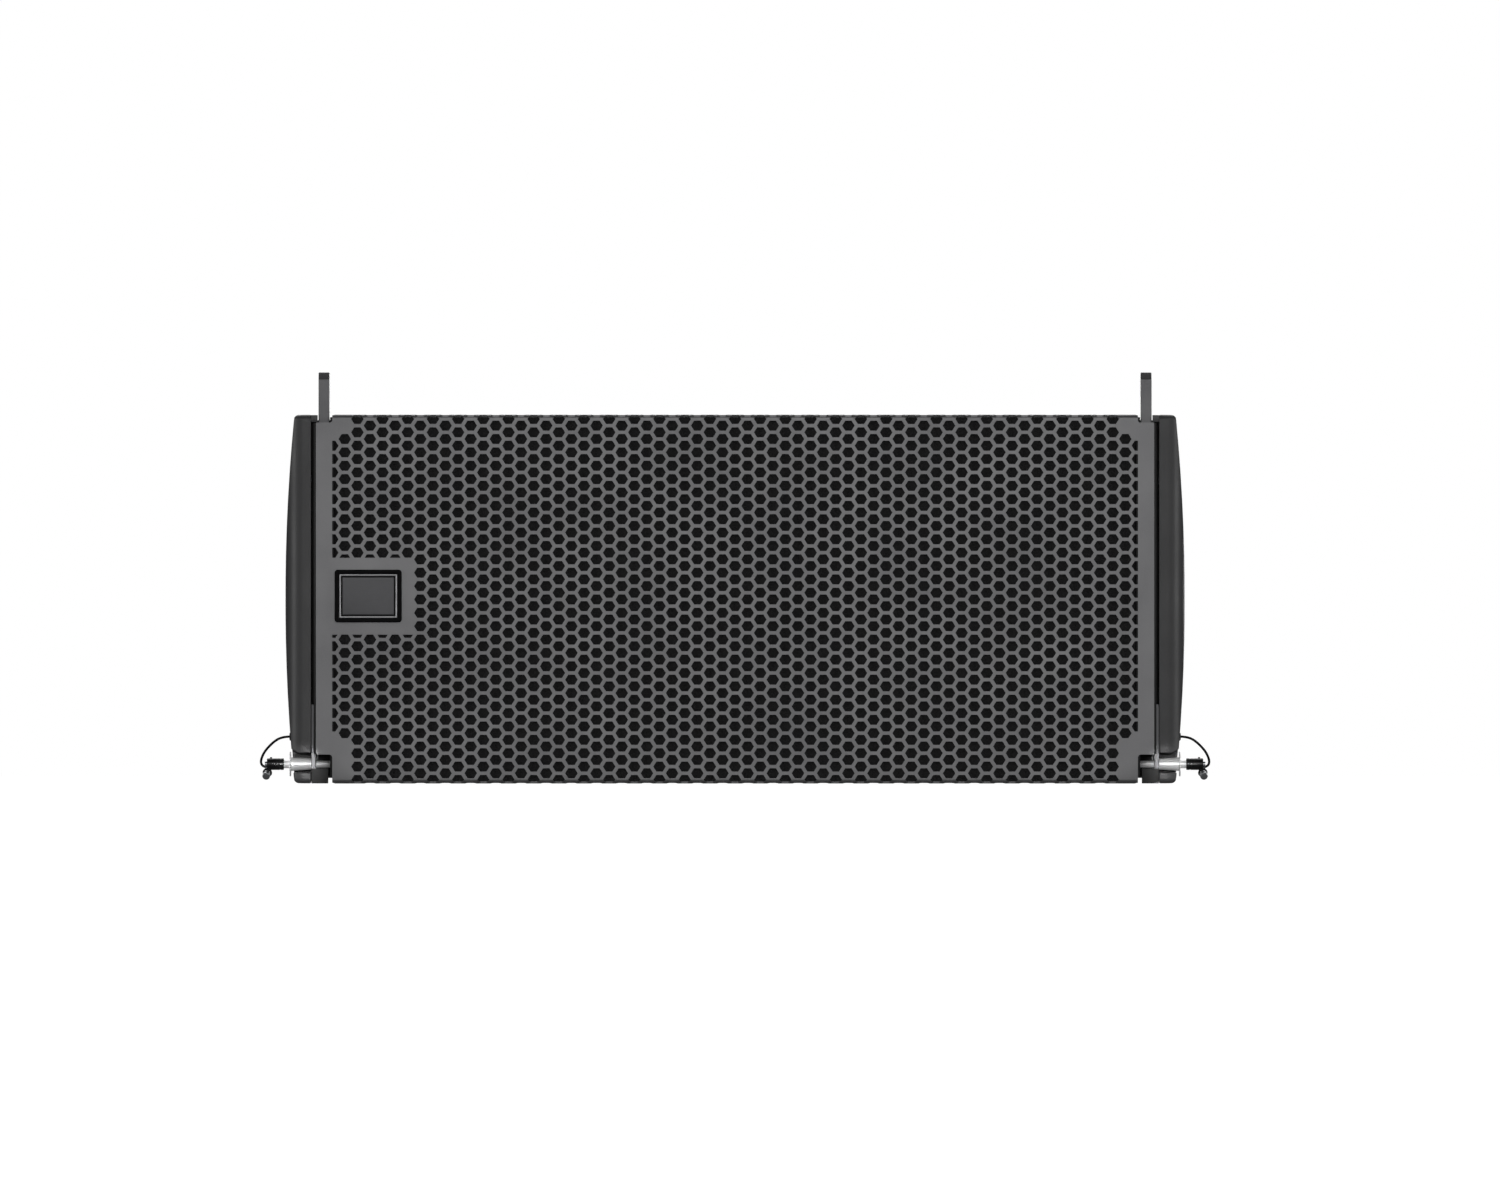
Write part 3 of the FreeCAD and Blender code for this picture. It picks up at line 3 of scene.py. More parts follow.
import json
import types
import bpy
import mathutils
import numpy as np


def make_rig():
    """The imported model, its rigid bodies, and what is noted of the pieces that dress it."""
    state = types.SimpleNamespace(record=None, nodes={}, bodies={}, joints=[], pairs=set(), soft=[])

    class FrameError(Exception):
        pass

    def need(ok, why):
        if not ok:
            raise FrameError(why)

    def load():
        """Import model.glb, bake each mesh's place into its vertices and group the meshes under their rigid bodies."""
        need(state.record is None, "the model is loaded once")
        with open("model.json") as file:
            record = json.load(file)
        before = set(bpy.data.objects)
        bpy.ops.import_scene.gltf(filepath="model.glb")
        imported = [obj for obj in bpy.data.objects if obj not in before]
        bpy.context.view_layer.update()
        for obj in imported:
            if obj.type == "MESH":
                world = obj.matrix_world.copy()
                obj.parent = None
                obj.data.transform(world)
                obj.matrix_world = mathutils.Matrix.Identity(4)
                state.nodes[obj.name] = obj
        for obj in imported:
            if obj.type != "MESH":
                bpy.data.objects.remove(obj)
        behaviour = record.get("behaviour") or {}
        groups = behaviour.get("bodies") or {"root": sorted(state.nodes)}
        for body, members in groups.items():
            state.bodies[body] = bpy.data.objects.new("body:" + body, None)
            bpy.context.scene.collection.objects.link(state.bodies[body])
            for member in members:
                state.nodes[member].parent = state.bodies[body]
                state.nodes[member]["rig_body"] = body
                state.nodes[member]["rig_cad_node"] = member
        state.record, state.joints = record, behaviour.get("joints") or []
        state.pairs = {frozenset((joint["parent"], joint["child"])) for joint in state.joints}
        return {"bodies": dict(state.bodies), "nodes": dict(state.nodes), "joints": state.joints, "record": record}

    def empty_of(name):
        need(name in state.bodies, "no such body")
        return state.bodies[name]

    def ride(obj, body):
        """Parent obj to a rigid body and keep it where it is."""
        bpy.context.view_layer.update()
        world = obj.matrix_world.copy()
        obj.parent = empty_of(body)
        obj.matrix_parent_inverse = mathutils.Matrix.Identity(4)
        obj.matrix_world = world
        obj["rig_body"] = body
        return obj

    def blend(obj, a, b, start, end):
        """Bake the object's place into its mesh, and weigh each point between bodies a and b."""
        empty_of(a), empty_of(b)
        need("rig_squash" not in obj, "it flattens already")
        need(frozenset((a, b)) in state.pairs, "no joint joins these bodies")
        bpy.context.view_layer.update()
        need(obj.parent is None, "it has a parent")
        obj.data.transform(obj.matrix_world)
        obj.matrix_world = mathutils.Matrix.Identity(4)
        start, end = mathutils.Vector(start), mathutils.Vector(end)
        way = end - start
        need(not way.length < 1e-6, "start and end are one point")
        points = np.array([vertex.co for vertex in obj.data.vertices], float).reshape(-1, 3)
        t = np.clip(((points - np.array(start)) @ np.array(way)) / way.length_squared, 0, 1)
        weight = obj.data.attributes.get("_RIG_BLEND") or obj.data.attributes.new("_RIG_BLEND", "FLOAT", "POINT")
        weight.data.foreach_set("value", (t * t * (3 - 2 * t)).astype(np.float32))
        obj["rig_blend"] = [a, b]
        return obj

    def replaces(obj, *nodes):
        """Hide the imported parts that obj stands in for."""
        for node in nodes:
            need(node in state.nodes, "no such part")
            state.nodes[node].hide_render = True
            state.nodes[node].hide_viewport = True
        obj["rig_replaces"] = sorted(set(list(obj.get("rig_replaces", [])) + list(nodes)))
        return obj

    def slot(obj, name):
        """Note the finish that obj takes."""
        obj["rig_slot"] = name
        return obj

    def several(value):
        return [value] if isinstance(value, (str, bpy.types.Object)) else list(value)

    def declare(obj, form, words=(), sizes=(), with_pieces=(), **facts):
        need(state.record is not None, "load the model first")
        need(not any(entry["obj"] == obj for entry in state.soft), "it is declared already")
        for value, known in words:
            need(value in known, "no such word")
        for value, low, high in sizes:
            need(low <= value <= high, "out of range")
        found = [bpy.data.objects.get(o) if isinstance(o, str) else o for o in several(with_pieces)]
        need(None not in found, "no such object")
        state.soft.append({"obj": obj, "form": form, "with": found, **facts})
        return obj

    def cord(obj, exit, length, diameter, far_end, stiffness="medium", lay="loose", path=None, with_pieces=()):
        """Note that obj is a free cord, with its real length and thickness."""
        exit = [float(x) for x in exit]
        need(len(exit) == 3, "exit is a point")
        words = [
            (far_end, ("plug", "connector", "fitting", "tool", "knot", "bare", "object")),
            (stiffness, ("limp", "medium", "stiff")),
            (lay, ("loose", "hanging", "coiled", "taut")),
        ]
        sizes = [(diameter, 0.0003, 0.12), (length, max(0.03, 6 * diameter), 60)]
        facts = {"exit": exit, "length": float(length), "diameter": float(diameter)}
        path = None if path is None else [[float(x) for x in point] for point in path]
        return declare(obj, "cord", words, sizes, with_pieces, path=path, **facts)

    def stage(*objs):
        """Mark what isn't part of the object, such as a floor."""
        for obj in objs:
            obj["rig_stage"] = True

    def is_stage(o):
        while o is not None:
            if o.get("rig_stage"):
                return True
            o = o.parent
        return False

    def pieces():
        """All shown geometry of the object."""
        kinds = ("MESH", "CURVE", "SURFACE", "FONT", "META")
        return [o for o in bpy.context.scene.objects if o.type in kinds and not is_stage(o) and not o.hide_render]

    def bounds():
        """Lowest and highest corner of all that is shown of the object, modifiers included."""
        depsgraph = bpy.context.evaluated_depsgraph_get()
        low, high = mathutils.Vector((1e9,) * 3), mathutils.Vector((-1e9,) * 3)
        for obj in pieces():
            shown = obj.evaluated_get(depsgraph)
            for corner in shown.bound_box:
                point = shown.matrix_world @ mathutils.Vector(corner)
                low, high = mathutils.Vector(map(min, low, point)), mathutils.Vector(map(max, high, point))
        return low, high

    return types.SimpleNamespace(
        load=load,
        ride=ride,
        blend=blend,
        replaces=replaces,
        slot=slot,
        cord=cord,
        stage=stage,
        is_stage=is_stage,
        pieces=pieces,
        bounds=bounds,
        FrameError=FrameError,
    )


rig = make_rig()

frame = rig.load()

import json
import logging
import math
from dataclasses import dataclass
from enum import Enum
from typing import ClassVar

import bmesh
import bpy
from mathutils import Vector, noise

MM = 0.001
LOG = logging.getLogger("loudspeaker")
Point = tuple[float, float, float]
Flat = tuple[float, float]

# Sizes that several pieces share, in millimetres.
Y_FACE = -170.0             # front of the grille
Y_PIN = -150.0              # axis of the front quick-release pins
Z_PIN = 14.4
SHOULDER = 309.5            # a front pin's collar stands here
HEIGHT = 270.0
TAPER = math.radians(5.0)
Y_PANEL = 132.0             # outer face of the rear panel
BADGE_AT = (-267.8, 137.2)

# How edges are eased and shaded, in degrees.
EASE_ABOVE = 32.0           # edges sharper than this are rounded
FLAT_WITHIN = 0.05          # faces that differ by less are made one
SHARP_ABOVE = 38.0          # edges sharper than this stay sharp in a copy of a CAD piece


def linear(colour: str) -> tuple[float, float, float, float]:
    """Turns an sRGB hex colour into linear light.

    Args:
        colour: Hex colour such as "#1a1b1c".

    Returns:
        Red, green and blue in linear light, and 1 for alpha.
    """
    parts = [int(colour[k:k + 2], 16) / 255 for k in (1, 3, 5)]
    red, green, blue = (c / 12.92 if c <= 0.04045 else ((c + 0.055) / 1.055) ** 2.4 for c in parts)
    return red, green, blue, 1.0


def add_node(tree: bpy.types.NodeTree, kind: str, inputs: dict | None = None, output: int | str = 0,
             **settings: object) -> bpy.types.NodeSocket | None:
    """Adds a node with its settings, values and links.

    Args:
        tree: Shader or geometry tree that the node goes into.
        kind: Blender's name of the node type.
        inputs: Input name or number mapped to a value, or to an output socket that is linked to it.
        output: The output that is handed back.
        **settings: Properties of the node itself.

    Returns:
        The chosen output socket, or None for a node with no outputs.
    """
    made = tree.nodes.new(kind)
    for key, value in settings.items():
        setattr(made, key, value)
    for key, value in (inputs or {}).items():
        if isinstance(value, bpy.types.NodeSocket):
            tree.links.new(value, made.inputs[key])
        else:
            made.inputs[key].default_value = value
    return made.outputs[output] if len(made.outputs) else None


class Pattern(Enum):
    """Kinds of fine surface structure that a finish can have."""

    POWDER = "orange peel of a powder coat"
    PEBBLE = "pebbled two-part coating"
    SPARK = "spark-eroded mould texture"
    GRINDING = "fine lines left by brushing or turning"
    CELLS = "open cells of foam"
    FIBRES = "pressed fibres"
    WEAVE = "plain weave"
    STRANDS = "twisted wires"
    WINDINGS = "wound wire"


@dataclass(frozen=True)
class Finish:
    """One real material and the way its surface was made.

    Attributes:
        name: What it is.
        colour: Main sRGB colour.
        second: sRGB colour that it drifts to in patches and in the low spots of its pattern.
        rough: Lowest and highest roughness.
        pattern: Fine structure of the surface.
        grain: Size of that structure in millimetres.
        relief: Height of that structure in millimetres.
        mottle: Size of the colour patches in millimetres.
        metallic: 1 for bare metal.
        worn: sRGB colour that shows along edges, or nothing.
        wear: How wide the worn edge is, in millimetres.
        stretch: Scale of the pattern along each axis, small along the lines of a brushed surface.
        coat: Weight of a clear gloss on top.
        sheen: Weight of a soft fuzz.
        gloss: Strength of the surface's own reflection, 0.5 for a plain clear-topped surface.
    """

    name: str
    colour: str
    second: str
    rough: Flat
    pattern: Pattern
    grain: float
    relief: float
    mottle: float = 45.0
    metallic: float = 0.0
    worn: str = ""
    wear: float = 0.7
    stretch: Point = (1.0, 1.0, 1.0)
    coat: float = 0.0
    sheen: float = 0.0
    gloss: float = 0.5

    def structure(self, tree: bpy.types.NodeTree, place: bpy.types.NodeSocket) -> bpy.types.NodeSocket:
        """Builds the fine structure as a height from 0 to 1.

        Args:
            tree: The material's tree.
            place: Coordinates in metres.

        Returns:
            The socket that carries the height.
        """
        scale = 1 / (self.grain * MM)
        if self.pattern in (Pattern.CELLS, Pattern.PEBBLE):
            far = add_node(tree, "ShaderNodeTexVoronoi", {"Vector": place, "Scale": scale}, "Distance",
                           feature="SMOOTH_F1" if self.pattern is Pattern.PEBBLE else "F1")
            high = (0.0, 0.75) if self.pattern is Pattern.CELLS else (0.75, 0.0)
            return add_node(tree, "ShaderNodeMapRange",
                            {"Value": far, "From Min": 0.05, "From Max": 0.6, "To Min": high[0],
                             "To Max": high[1]})
        if self.pattern in (Pattern.WEAVE, Pattern.STRANDS, Pattern.WINDINGS):
            turn = {Pattern.WEAVE: "X", Pattern.STRANDS: "DIAGONAL", Pattern.WINDINGS: "Y"}[self.pattern]
            first = add_node(tree, "ShaderNodeTexWave", {"Vector": place, "Scale": scale / 6.4}, "Fac",
                             bands_direction=turn)
            if self.pattern is not Pattern.WEAVE:
                return first
            other = add_node(tree, "ShaderNodeTexWave", {"Vector": place, "Scale": scale / 6.4}, "Fac",
                             bands_direction="Z")
            return add_node(tree, "ShaderNodeMath", {0: first, 1: other}, operation="MULTIPLY")
        detail = {Pattern.POWDER: 1.5, Pattern.SPARK: 5.0, Pattern.GRINDING: 3.0, Pattern.FIBRES: 8.0}
        warp = 1.2 if self.pattern is Pattern.FIBRES else 0.0
        return add_node(tree, "ShaderNodeTexNoise",
                        {"Vector": place, "Scale": scale, "Detail": detail[self.pattern], "Roughness": 0.6,
                         "Distortion": warp})

    def build(self) -> bpy.types.Material:
        """Makes the material.

        Returns:
            The finished Blender material.
        """
        material = bpy.data.materials.new(self.name)
        material.use_nodes = True
        tree = material.node_tree
        tree.nodes.clear()
        source = "UV" if self.pattern is Pattern.STRANDS else "Object"
        place = add_node(tree, "ShaderNodeTexCoord", output=source)
        mapped = add_node(tree, "ShaderNodeMapping", {"Vector": place, "Scale": self.stretch})
        height = self.structure(tree, mapped)
        patches = add_node(tree, "ShaderNodeTexNoise", {"Vector": place, "Scale": 1 / (self.mottle * MM),
                                                        "Detail": 4.0, "Roughness": 0.6})
        patches = add_node(tree, "ShaderNodeMapRange", {"Value": patches, "From Min": 0.3, "From Max": 0.7})
        drift = add_node(tree, "ShaderNodeMath", {0: patches, 1: height}, operation="MULTIPLY")
        colour = add_node(tree, "ShaderNodeMix", {0: drift, 6: linear(self.colour), 7: linear(self.second)},
                          2,
                          data_type="RGBA")
        if self.worn:
            rounded = add_node(tree, "ShaderNodeBevel", {"Radius": self.wear * MM}, samples=4)
            flat = add_node(tree, "ShaderNodeNewGeometry", output="Normal")
            level = add_node(tree, "ShaderNodeVectorMath", {0: rounded, 1: flat}, "Value",
                             operation="DOT_PRODUCT")
            edge = add_node(tree, "ShaderNodeMapRange", {"Value": level, "From Min": 0.985, "From Max": 0.86})
            edge = add_node(tree, "ShaderNodeMath", {0: edge, 1: patches}, operation="MULTIPLY",
                            use_clamp=True)
            colour = add_node(tree, "ShaderNodeMix", {0: edge, 6: colour, 7: linear(self.worn)}, 2,
                              data_type="RGBA")
        rough = add_node(tree, "ShaderNodeMapRange", {"Value": drift, "To Min": self.rough[0],
                                                      "To Max": self.rough[1]})
        relief = add_node(tree, "ShaderNodeBump", {"Height": height, "Strength": 1.0,
                                                   "Distance": self.relief * MM})
        shader = add_node(tree, "ShaderNodeBsdfPrincipled",
                          {"Base Color": colour, "Roughness": rough, "Normal": relief,
                           "Metallic": self.metallic,
                           "Coat Weight": self.coat, "Coat Roughness": 0.12, "Sheen Weight": self.sheen,
                           "Specular IOR Level": self.gloss})
        add_node(tree, "ShaderNodeOutputMaterial", {"Surface": shader})
        return material


# Patterns finer than about 0.7 mm would not show, so those grains are drawn at that size or a little coarser.
FINISHES = {
    # Birch plywood under sprayed polyurea: matt black, pebbled like coarse sandpaper.
    "cabinet_timber": Finish("Polyurea_coated_plywood", "#19191a", "#252526", (0.55, 0.8), Pattern.PEBBLE,
                             1.6, 0.35, 70.0, worn="#2f2f30"),
    # Punched steel sheet, polyester powder coat: even dark grey with a faint orange peel and a soft gloss.
    "grille_steel": Finish("Powder_coated_steel_sheet", "#757576", "#6a6a6c", (0.36, 0.48), Pattern.POWDER,
                           0.9, 0.03, 60.0, 0.7),
    # Reticulated polyether foam: black, matt, sponge-like cells about a millimetre across.
    "acoustic_foam": Finish("Reticulated_polyether_foam", "#111112", "#232324", (0.9, 1.0), Pattern.CELLS,
                            1.3, 0.8, 30.0, sheen=0.15),
    # Injection-moulded ABS frame: near black with a fine satin grain.
    "badge_plastic": Finish("Moulded_ABS_frame", "#09090a", "#0e0e0f", (0.45, 0.55), Pattern.SPARK, 0.8, 0.02,
                            gloss=0.05),
    # Aluminium, brushed and anodised grey: soft horizontal lines and a satin shine.
    "badge_plate": Finish("Brushed_anodised_aluminium", "#4e4e50", "#5a5a5c", (0.4, 0.5), Pattern.GRINDING,
                          0.7, 0.01, 18.0, 0.6, stretch=(0.02, 1.0, 1.0)),
    # Die-cast aluminium, painted: dull dark grey with a slightly sandy skin.
    "cast_basket": Finish("Painted_die_cast_aluminium", "#2b2c2e", "#3a3b3d", (0.5, 0.7), Pattern.SPARK, 1.2,
                          0.1),
    # Pressed steel with zinc flash: mid grey metal with turning lines.
    "motor_steel": Finish("Zinc_plated_motor_steel", "#8d8e90", "#77797c", (0.3, 0.5), Pattern.GRINDING,
                          0.8, 0.03, metallic=1.0, stretch=(0.1, 1.0, 1.0)),
    # Pressed and doped paper pulp: charcoal with visible fibres.
    "cone_paper": Finish("Doped_paper_pulp", "#242321", "#34322f", (0.7, 0.9), Pattern.FIBRES, 2.2, 0.12),
    # Enamelled copper wire: bright brown rings, glossy.
    "coil_copper": Finish("Enamelled_copper_winding", "#8a4a22", "#b06a35", (0.2, 0.35), Pattern.WINDINGS,
                          0.7, 0.1, metallic=0.8, coat=0.4),
    # Moulded nitrile rubber: black with a soft bloom.
    "surround_rubber": Finish("Moulded_nitrile_rubber", "#161616", "#222221", (0.55, 0.7), Pattern.SPARK, 0.9,
                              0.03),
    # Phenolic-dipped cotton: tan cloth with a plain weave.
    "spider_cloth": Finish("Phenolic_dipped_cotton", "#a8864a", "#7d6232", (0.8, 0.95), Pattern.WEAVE, 0.8,
                           0.15),
    # Glass-filled ABS horn: black satin with flow marks.
    "moulded_plastic": Finish("Glass_filled_ABS", "#1c1c1d", "#282829", (0.4, 0.6), Pattern.SPARK, 0.9, 0.04),
    # Pressed titanium foil: pale grey metal.
    "diaphragm_metal": Finish("Pressed_titanium_foil", "#b4b2ae", "#9c9a96", (0.2, 0.35), Pattern.GRINDING,
                              0.7, 0.01, metallic=1.0),
    # Laser-cut steel plate, powder coated: dark grey, rubbed brighter along its edges.
    "rigging_steel": Finish("Powder_coated_rigging_plate", "#5c5c5e", "#505052", (0.36, 0.5), Pattern.POWDER,
                            1.0, 0.04, 50.0, 0.65, worn="#7b7b7d", wear=0.4),
    # High-tensile steel bar, powder coated grey: the paint is polished where the link slides.
    "link_steel": Finish("Powder_coated_link_bar", "#636364", "#58585a", (0.34, 0.46), Pattern.POWDER,
                         1.0, 0.04, 30.0, 0.7, worn="#8c8c8e", wear=0.4),
    # Machined acetal strip: natural off-white, waxy.
    "glide_plastic": Finish("Machined_acetal_strip", "#d9d6cc", "#c9c5b8", (0.3, 0.45), Pattern.GRINDING,
                            0.8, 0.02, stretch=(1.0, 1.0, 0.05)),
    # Bright zinc plate: cool grey metal with a slight cloudiness.
    "zinc_fastener": Finish("Bright_zinc_plated_steel", "#a7abb0", "#8b9096", (0.2, 0.4), Pattern.GRINDING,
                            0.7, 0.02, 4.0, 1.0, stretch=(0.2, 1.0, 1.0)),
    # Ground steel with satin chrome, faint turning lines and a soft shine; its near-white, mostly matt colour is a
    # painted reflection of white surroundings.
    "pin_chrome": Finish("Satin_chrome_painted_reflection", "#fafafa", "#f0f0f1", (0.3, 0.4), Pattern.GRINDING,
                         0.7, 0.004, 6.0, 0.3, stretch=(1.0, 0.03, 0.03)),
    # Aluminium barrel, black anodised: deep black with a satin shine and pale rubbed edges.
    "handle_black": Finish("Black_anodised_aluminium", "#141415", "#1f1f20", (0.25, 0.4), Pattern.GRINDING,
                           0.7, 0.01, 8.0, 0.3, worn="#4a4a4c", wear=0.3, stretch=(1.0, 0.05, 0.05)),
    # Stainless push button, turned: bright steel with concentric marks.
    "button_steel": Finish("Turned_stainless_steel", "#b9bbbd", "#9da0a3", (0.18, 0.3), Pattern.GRINDING,
                           0.7, 0.01, 5.0, 1.0, stretch=(0.2, 1.0, 1.0)),
    # Pressed aluminium sleeve: pale, dented a little by the press.
    "ferrule_metal": Finish("Pressed_aluminium_sleeve", "#b8babc", "#9ea1a4", (0.25, 0.42), Pattern.SPARK,
                            1.2, 0.08, 4.0, 1.0),
    # Wire rope in black nylon: black and slightly glossy, the strands just telling through the coat.
    "lanyard_wire": Finish("Nylon_coated_wire_rope", "#070708", "#161617", (0.42, 0.55), Pattern.STRANDS,
                           0.9, 0.06, 6.0, gloss=0.15),
    # Moulded rubber grommet: black and soft.
    "grommet_rubber": Finish("Moulded_rubber_grommet", "#151515", "#202020", (0.6, 0.75), Pattern.SPARK, 0.7,
                             0.02),
    # Rotomoulded polyurethane cheek: charcoal with a fine leathery grain, scuffed grey on its edges.
    "cap_plastic": Finish("Moulded_polyurethane_cheek", "#3d3d3e", "#333334", (0.42, 0.6), Pattern.SPARK,
                          1.1, 0.09, 55.0, worn="#4d4d4e", wear=1.0),
    # Steel plate, textured black powder coat: slightly glittering matt black.
    "panel_steel": Finish("Black_textured_steel_plate", "#1d1d1e", "#2a2a2b", (0.4, 0.6), Pattern.PEBBLE,
                          0.9, 0.08, 30.0, worn="#5a5a5c", wear=0.5),
    # Moulded polyamide socket: black, satin.
    "socket_plastic": Finish("Moulded_polyamide_socket", "#1b1c1d", "#262728", (0.35, 0.5), Pattern.SPARK,
                             0.8, 0.03),
    # Epoxy glass laminate under solder mask: green, glossy, with a faint weave.
    "circuit_board": Finish("Epoxy_glass_laminate", "#1d4a2e", "#163a24", (0.25, 0.4), Pattern.WEAVE, 0.8,
                            0.02),
    # Film capacitors, coils and cement resistors: pale ochre bodies.
    "circuit_parts": Finish("Filter_components", "#a88a55", "#6f5a3a", (0.4, 0.6), Pattern.SPARK, 1.0, 0.05,
                            14.0),
    # Black-oxide steel screw: oily black with brown-grey edges.
    "black_fastener": Finish("Black_oxide_steel", "#1a1a1b", "#29292a", (0.3, 0.5), Pattern.SPARK, 0.8, 0.02,
                             5.0, 0.5, worn="#56565a", wear=0.3),
}
# Bare aluminium rim of the badge, diamond cut: bright thin line.
TRIM = Finish("Diamond_cut_aluminium_rim", "#a9a9ab", "#97979a", (0.3, 0.42), Pattern.GRINDING, 0.7, 0.01,
              10.0,
              0.6, stretch=(0.05, 1.0, 1.0))
# Bent steel channel, its inside and its lower wing coated matt near-black: painted shade for the dark slot round the
# links and the pin.
CHANNEL_SHADE = Finish("Painted_shade_in_channel", "#141415", "#1c1c1d", (0.5, 0.65), Pattern.POWDER, 1.0, 0.04, 30.0,
                 gloss=0.2)
# Paint in the badge's groove: flat black.
GROOVE = Finish("Black_paint_in_groove", "#161617", "#1c1c1d", (0.6, 0.75), Pattern.SPARK, 0.7, 0.01,
                gloss=0.2)

EXTRA = {"badge_trim": TRIM, "badge_groove": GROOVE, "channel_paint": CHANNEL_SHADE}
MATERIALS: dict[str, bpy.types.Material] = {}


def material_of(slot: str) -> bpy.types.Material:
    """Finds the material of a slot, and makes it the first time that it is asked for.

    Args:
        slot: Key of a finish.

    Returns:
        The Blender material.
    """
    if slot not in MATERIALS:
        MATERIALS[slot] = {**FINISHES, **EXTRA}[slot].build()
    return MATERIALS[slot]


# ---------------------------------------------------------------- meshes
def shade(mesh: bpy.types.Mesh, angle: float) -> None:
    """Smooths a mesh except over edges sharper than an angle in degrees."""
    mesh.polygons.foreach_set("use_smooth", [True] * len(mesh.polygons))
    mesh.set_sharp_from_angle(angle=math.radians(angle))


def stand(name: str, data: bpy.types.ID) -> bpy.types.Object:
    """Makes an object out of its data and links it to the scene.

    Args:
        name: Name of the object.
        data: Its mesh, curve, light or camera.

    Returns:
        The new object.
    """
    made = bpy.data.objects.new(name, data)
    bpy.context.scene.collection.objects.link(made)
    return made


def settle(made: bpy.types.Object, slot: str, body: str = "root", nodes: tuple[str, ...] = (),
           dress: str = "") -> bpy.types.Object:
    """Dresses a finished piece, puts it on its body and lets it stand for its CAD nodes.

    Args:
        made: The piece, already at its place.
        slot: The record's material slot.
        body: CAD body that it rides on, or nothing when it is blended afterwards.
        nodes: CAD nodes that it replaces.
        dress: Key of another finish, when it differs from the slot's own.

    Returns:
        The same piece.
    """
    made.data.materials.clear()
    made.data.materials.append(material_of(dress or slot))
    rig.slot(made, slot)
    if body:
        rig.ride(made, body)
    if nodes:
        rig.replaces(made, *nodes)
    LOG.info("%s: %d faces on %s", made.name, len(made.data.polygons), body or "two bodies")
    return made


def from_bmesh(name: str, bm: bmesh.types.BMesh, angle: float = 40.0) -> bpy.types.Object:
    """Turns closed shells drawn in millimetres into an object in metres.

    Args:
        name: Name of the piece.
        bm: The shells; freed here.
        angle: Edges sharper than this, in degrees, stay sharp.

    Returns:
        The new object, linked to the scene.
    """
    bmesh.ops.remove_doubles(bm, verts=bm.verts, dist=1e-4)
    bmesh.ops.scale(bm, vec=(MM, MM, MM), verts=bm.verts)
    bmesh.ops.recalc_face_normals(bm, faces=bm.faces)
    mesh = bpy.data.meshes.new(name)
    bm.to_mesh(mesh)
    bm.free()
    shade(mesh, angle)
    return stand(name, mesh)


def eased(points: list[Flat], radius: float, steps: int = 3, closed: bool = False) -> list[Flat]:
    """Rounds the corners of an outline or a profile.

    Args:
        points: Corners in order.
        radius: Wanted radius; short runs get less.
        steps: Segments in each rounded corner.
        closed: True when the last point joins the first.

    Returns:
        The points with each corner replaced by a short arc.
    """
    ring, count = [Vector(p) for p in points], len(points)
    out: list[Flat] = []
    for k, here in enumerate(ring):
        if not closed and k in (0, count - 1):
            out.append(tuple(here))
            continue
        before, after = ring[k - 1] - here, ring[(k + 1) % count] - here
        reach = min(radius, 0.45 * before.length, 0.45 * after.length)
        a, b = here + before.normalized() * reach, here + after.normalized() * reach
        for i in range(steps + 1):
            t = i / steps
            out.append(tuple(a * (1 - t) ** 2 + here * 2 * t * (1 - t) + b * t ** 2))
    return out


def lathe(bm: bmesh.types.BMesh, profile: list[Flat], start: Point, axis: Point, around: int = 32,
          ring: bool = False) -> None:
    """Adds a turned shell.

    Args:
        bm: Mesh to add to.
        profile: (distance along the axis, radius) in order; radius 0 closes it on the axis.
        start: Where distance 0 is.
        axis: Direction of the axis.
        around: Segments round the axis.
        ring: True when the profile closes on itself, as for a washer.
    """
    way = Vector(axis).normalized()
    side = way.orthogonal().normalized()
    other = way.cross(side)
    rows = []
    for along, radius in profile:
        centre = Vector(start) + way * along
        if radius < 1e-6:
            rows.append([bm.verts.new(centre)] * around)
            continue
        rows.append([bm.verts.new(centre + (side * math.cos(a) + other * math.sin(a)) * radius)
                     for a in (2 * math.pi * k / around for k in range(around))])
    pairs = list(zip(rows, rows[1:])) + ([(rows[-1], rows[0])] if ring else [])
    for low, high in pairs:
        for k in range(around):
            corners = list(dict.fromkeys((low[k], low[(k + 1) % around], high[(k + 1) % around], high[k])))
            if len(corners) > 2:
                bm.faces.new(corners)


def rectangle(centre: Flat, half_w: float, half_h: float, radius: float, y: float,
              steps: int = 5) -> list[Vector]:
    """Draws a rounded rectangle that faces the front.

    Args:
        centre: Its centre, across and up.
        half_w: Half its width.
        half_h: Half its height.
        radius: Radius of its corners.
        y: Depth that it lies at.
        steps: Segments in each corner.

    Returns:
        Its points in order.
    """
    loop = []
    for sx, sz, base in ((1, 1, 0), (-1, 1, 90), (-1, -1, 180), (1, -1, 270)):
        cx, cz = centre[0] + sx * (half_w - radius), centre[1] + sz * (half_h - radius)
        for k in range(steps + 1):
            a = math.radians(base + 90 * k / steps)
            loop.append(Vector((cx + radius * math.cos(a), y, cz + radius * math.sin(a))))
    return loop


def skin(bm: bmesh.types.BMesh, loops: list[list[Vector]], ring: bool = False) -> None:
    """Joins loops of equal length into a closed shell.

    Args:
        bm: Mesh to add to.
        loops: The loops in order.
        ring: True to close the shell back on itself, False for a face at each end.
    """
    rows = [[bm.verts.new(p) for p in loop] for loop in loops]
    pairs = list(zip(rows, rows[1:])) + ([(rows[-1], rows[0])] if ring else [])
    count = len(rows[0])
    for low, high in pairs:
        for k in range(count):
            bm.faces.new((low[k], low[(k + 1) % count], high[(k + 1) % count], high[k]))
    if not ring:
        bm.faces.new(rows[0])
        bm.faces.new(rows[-1])


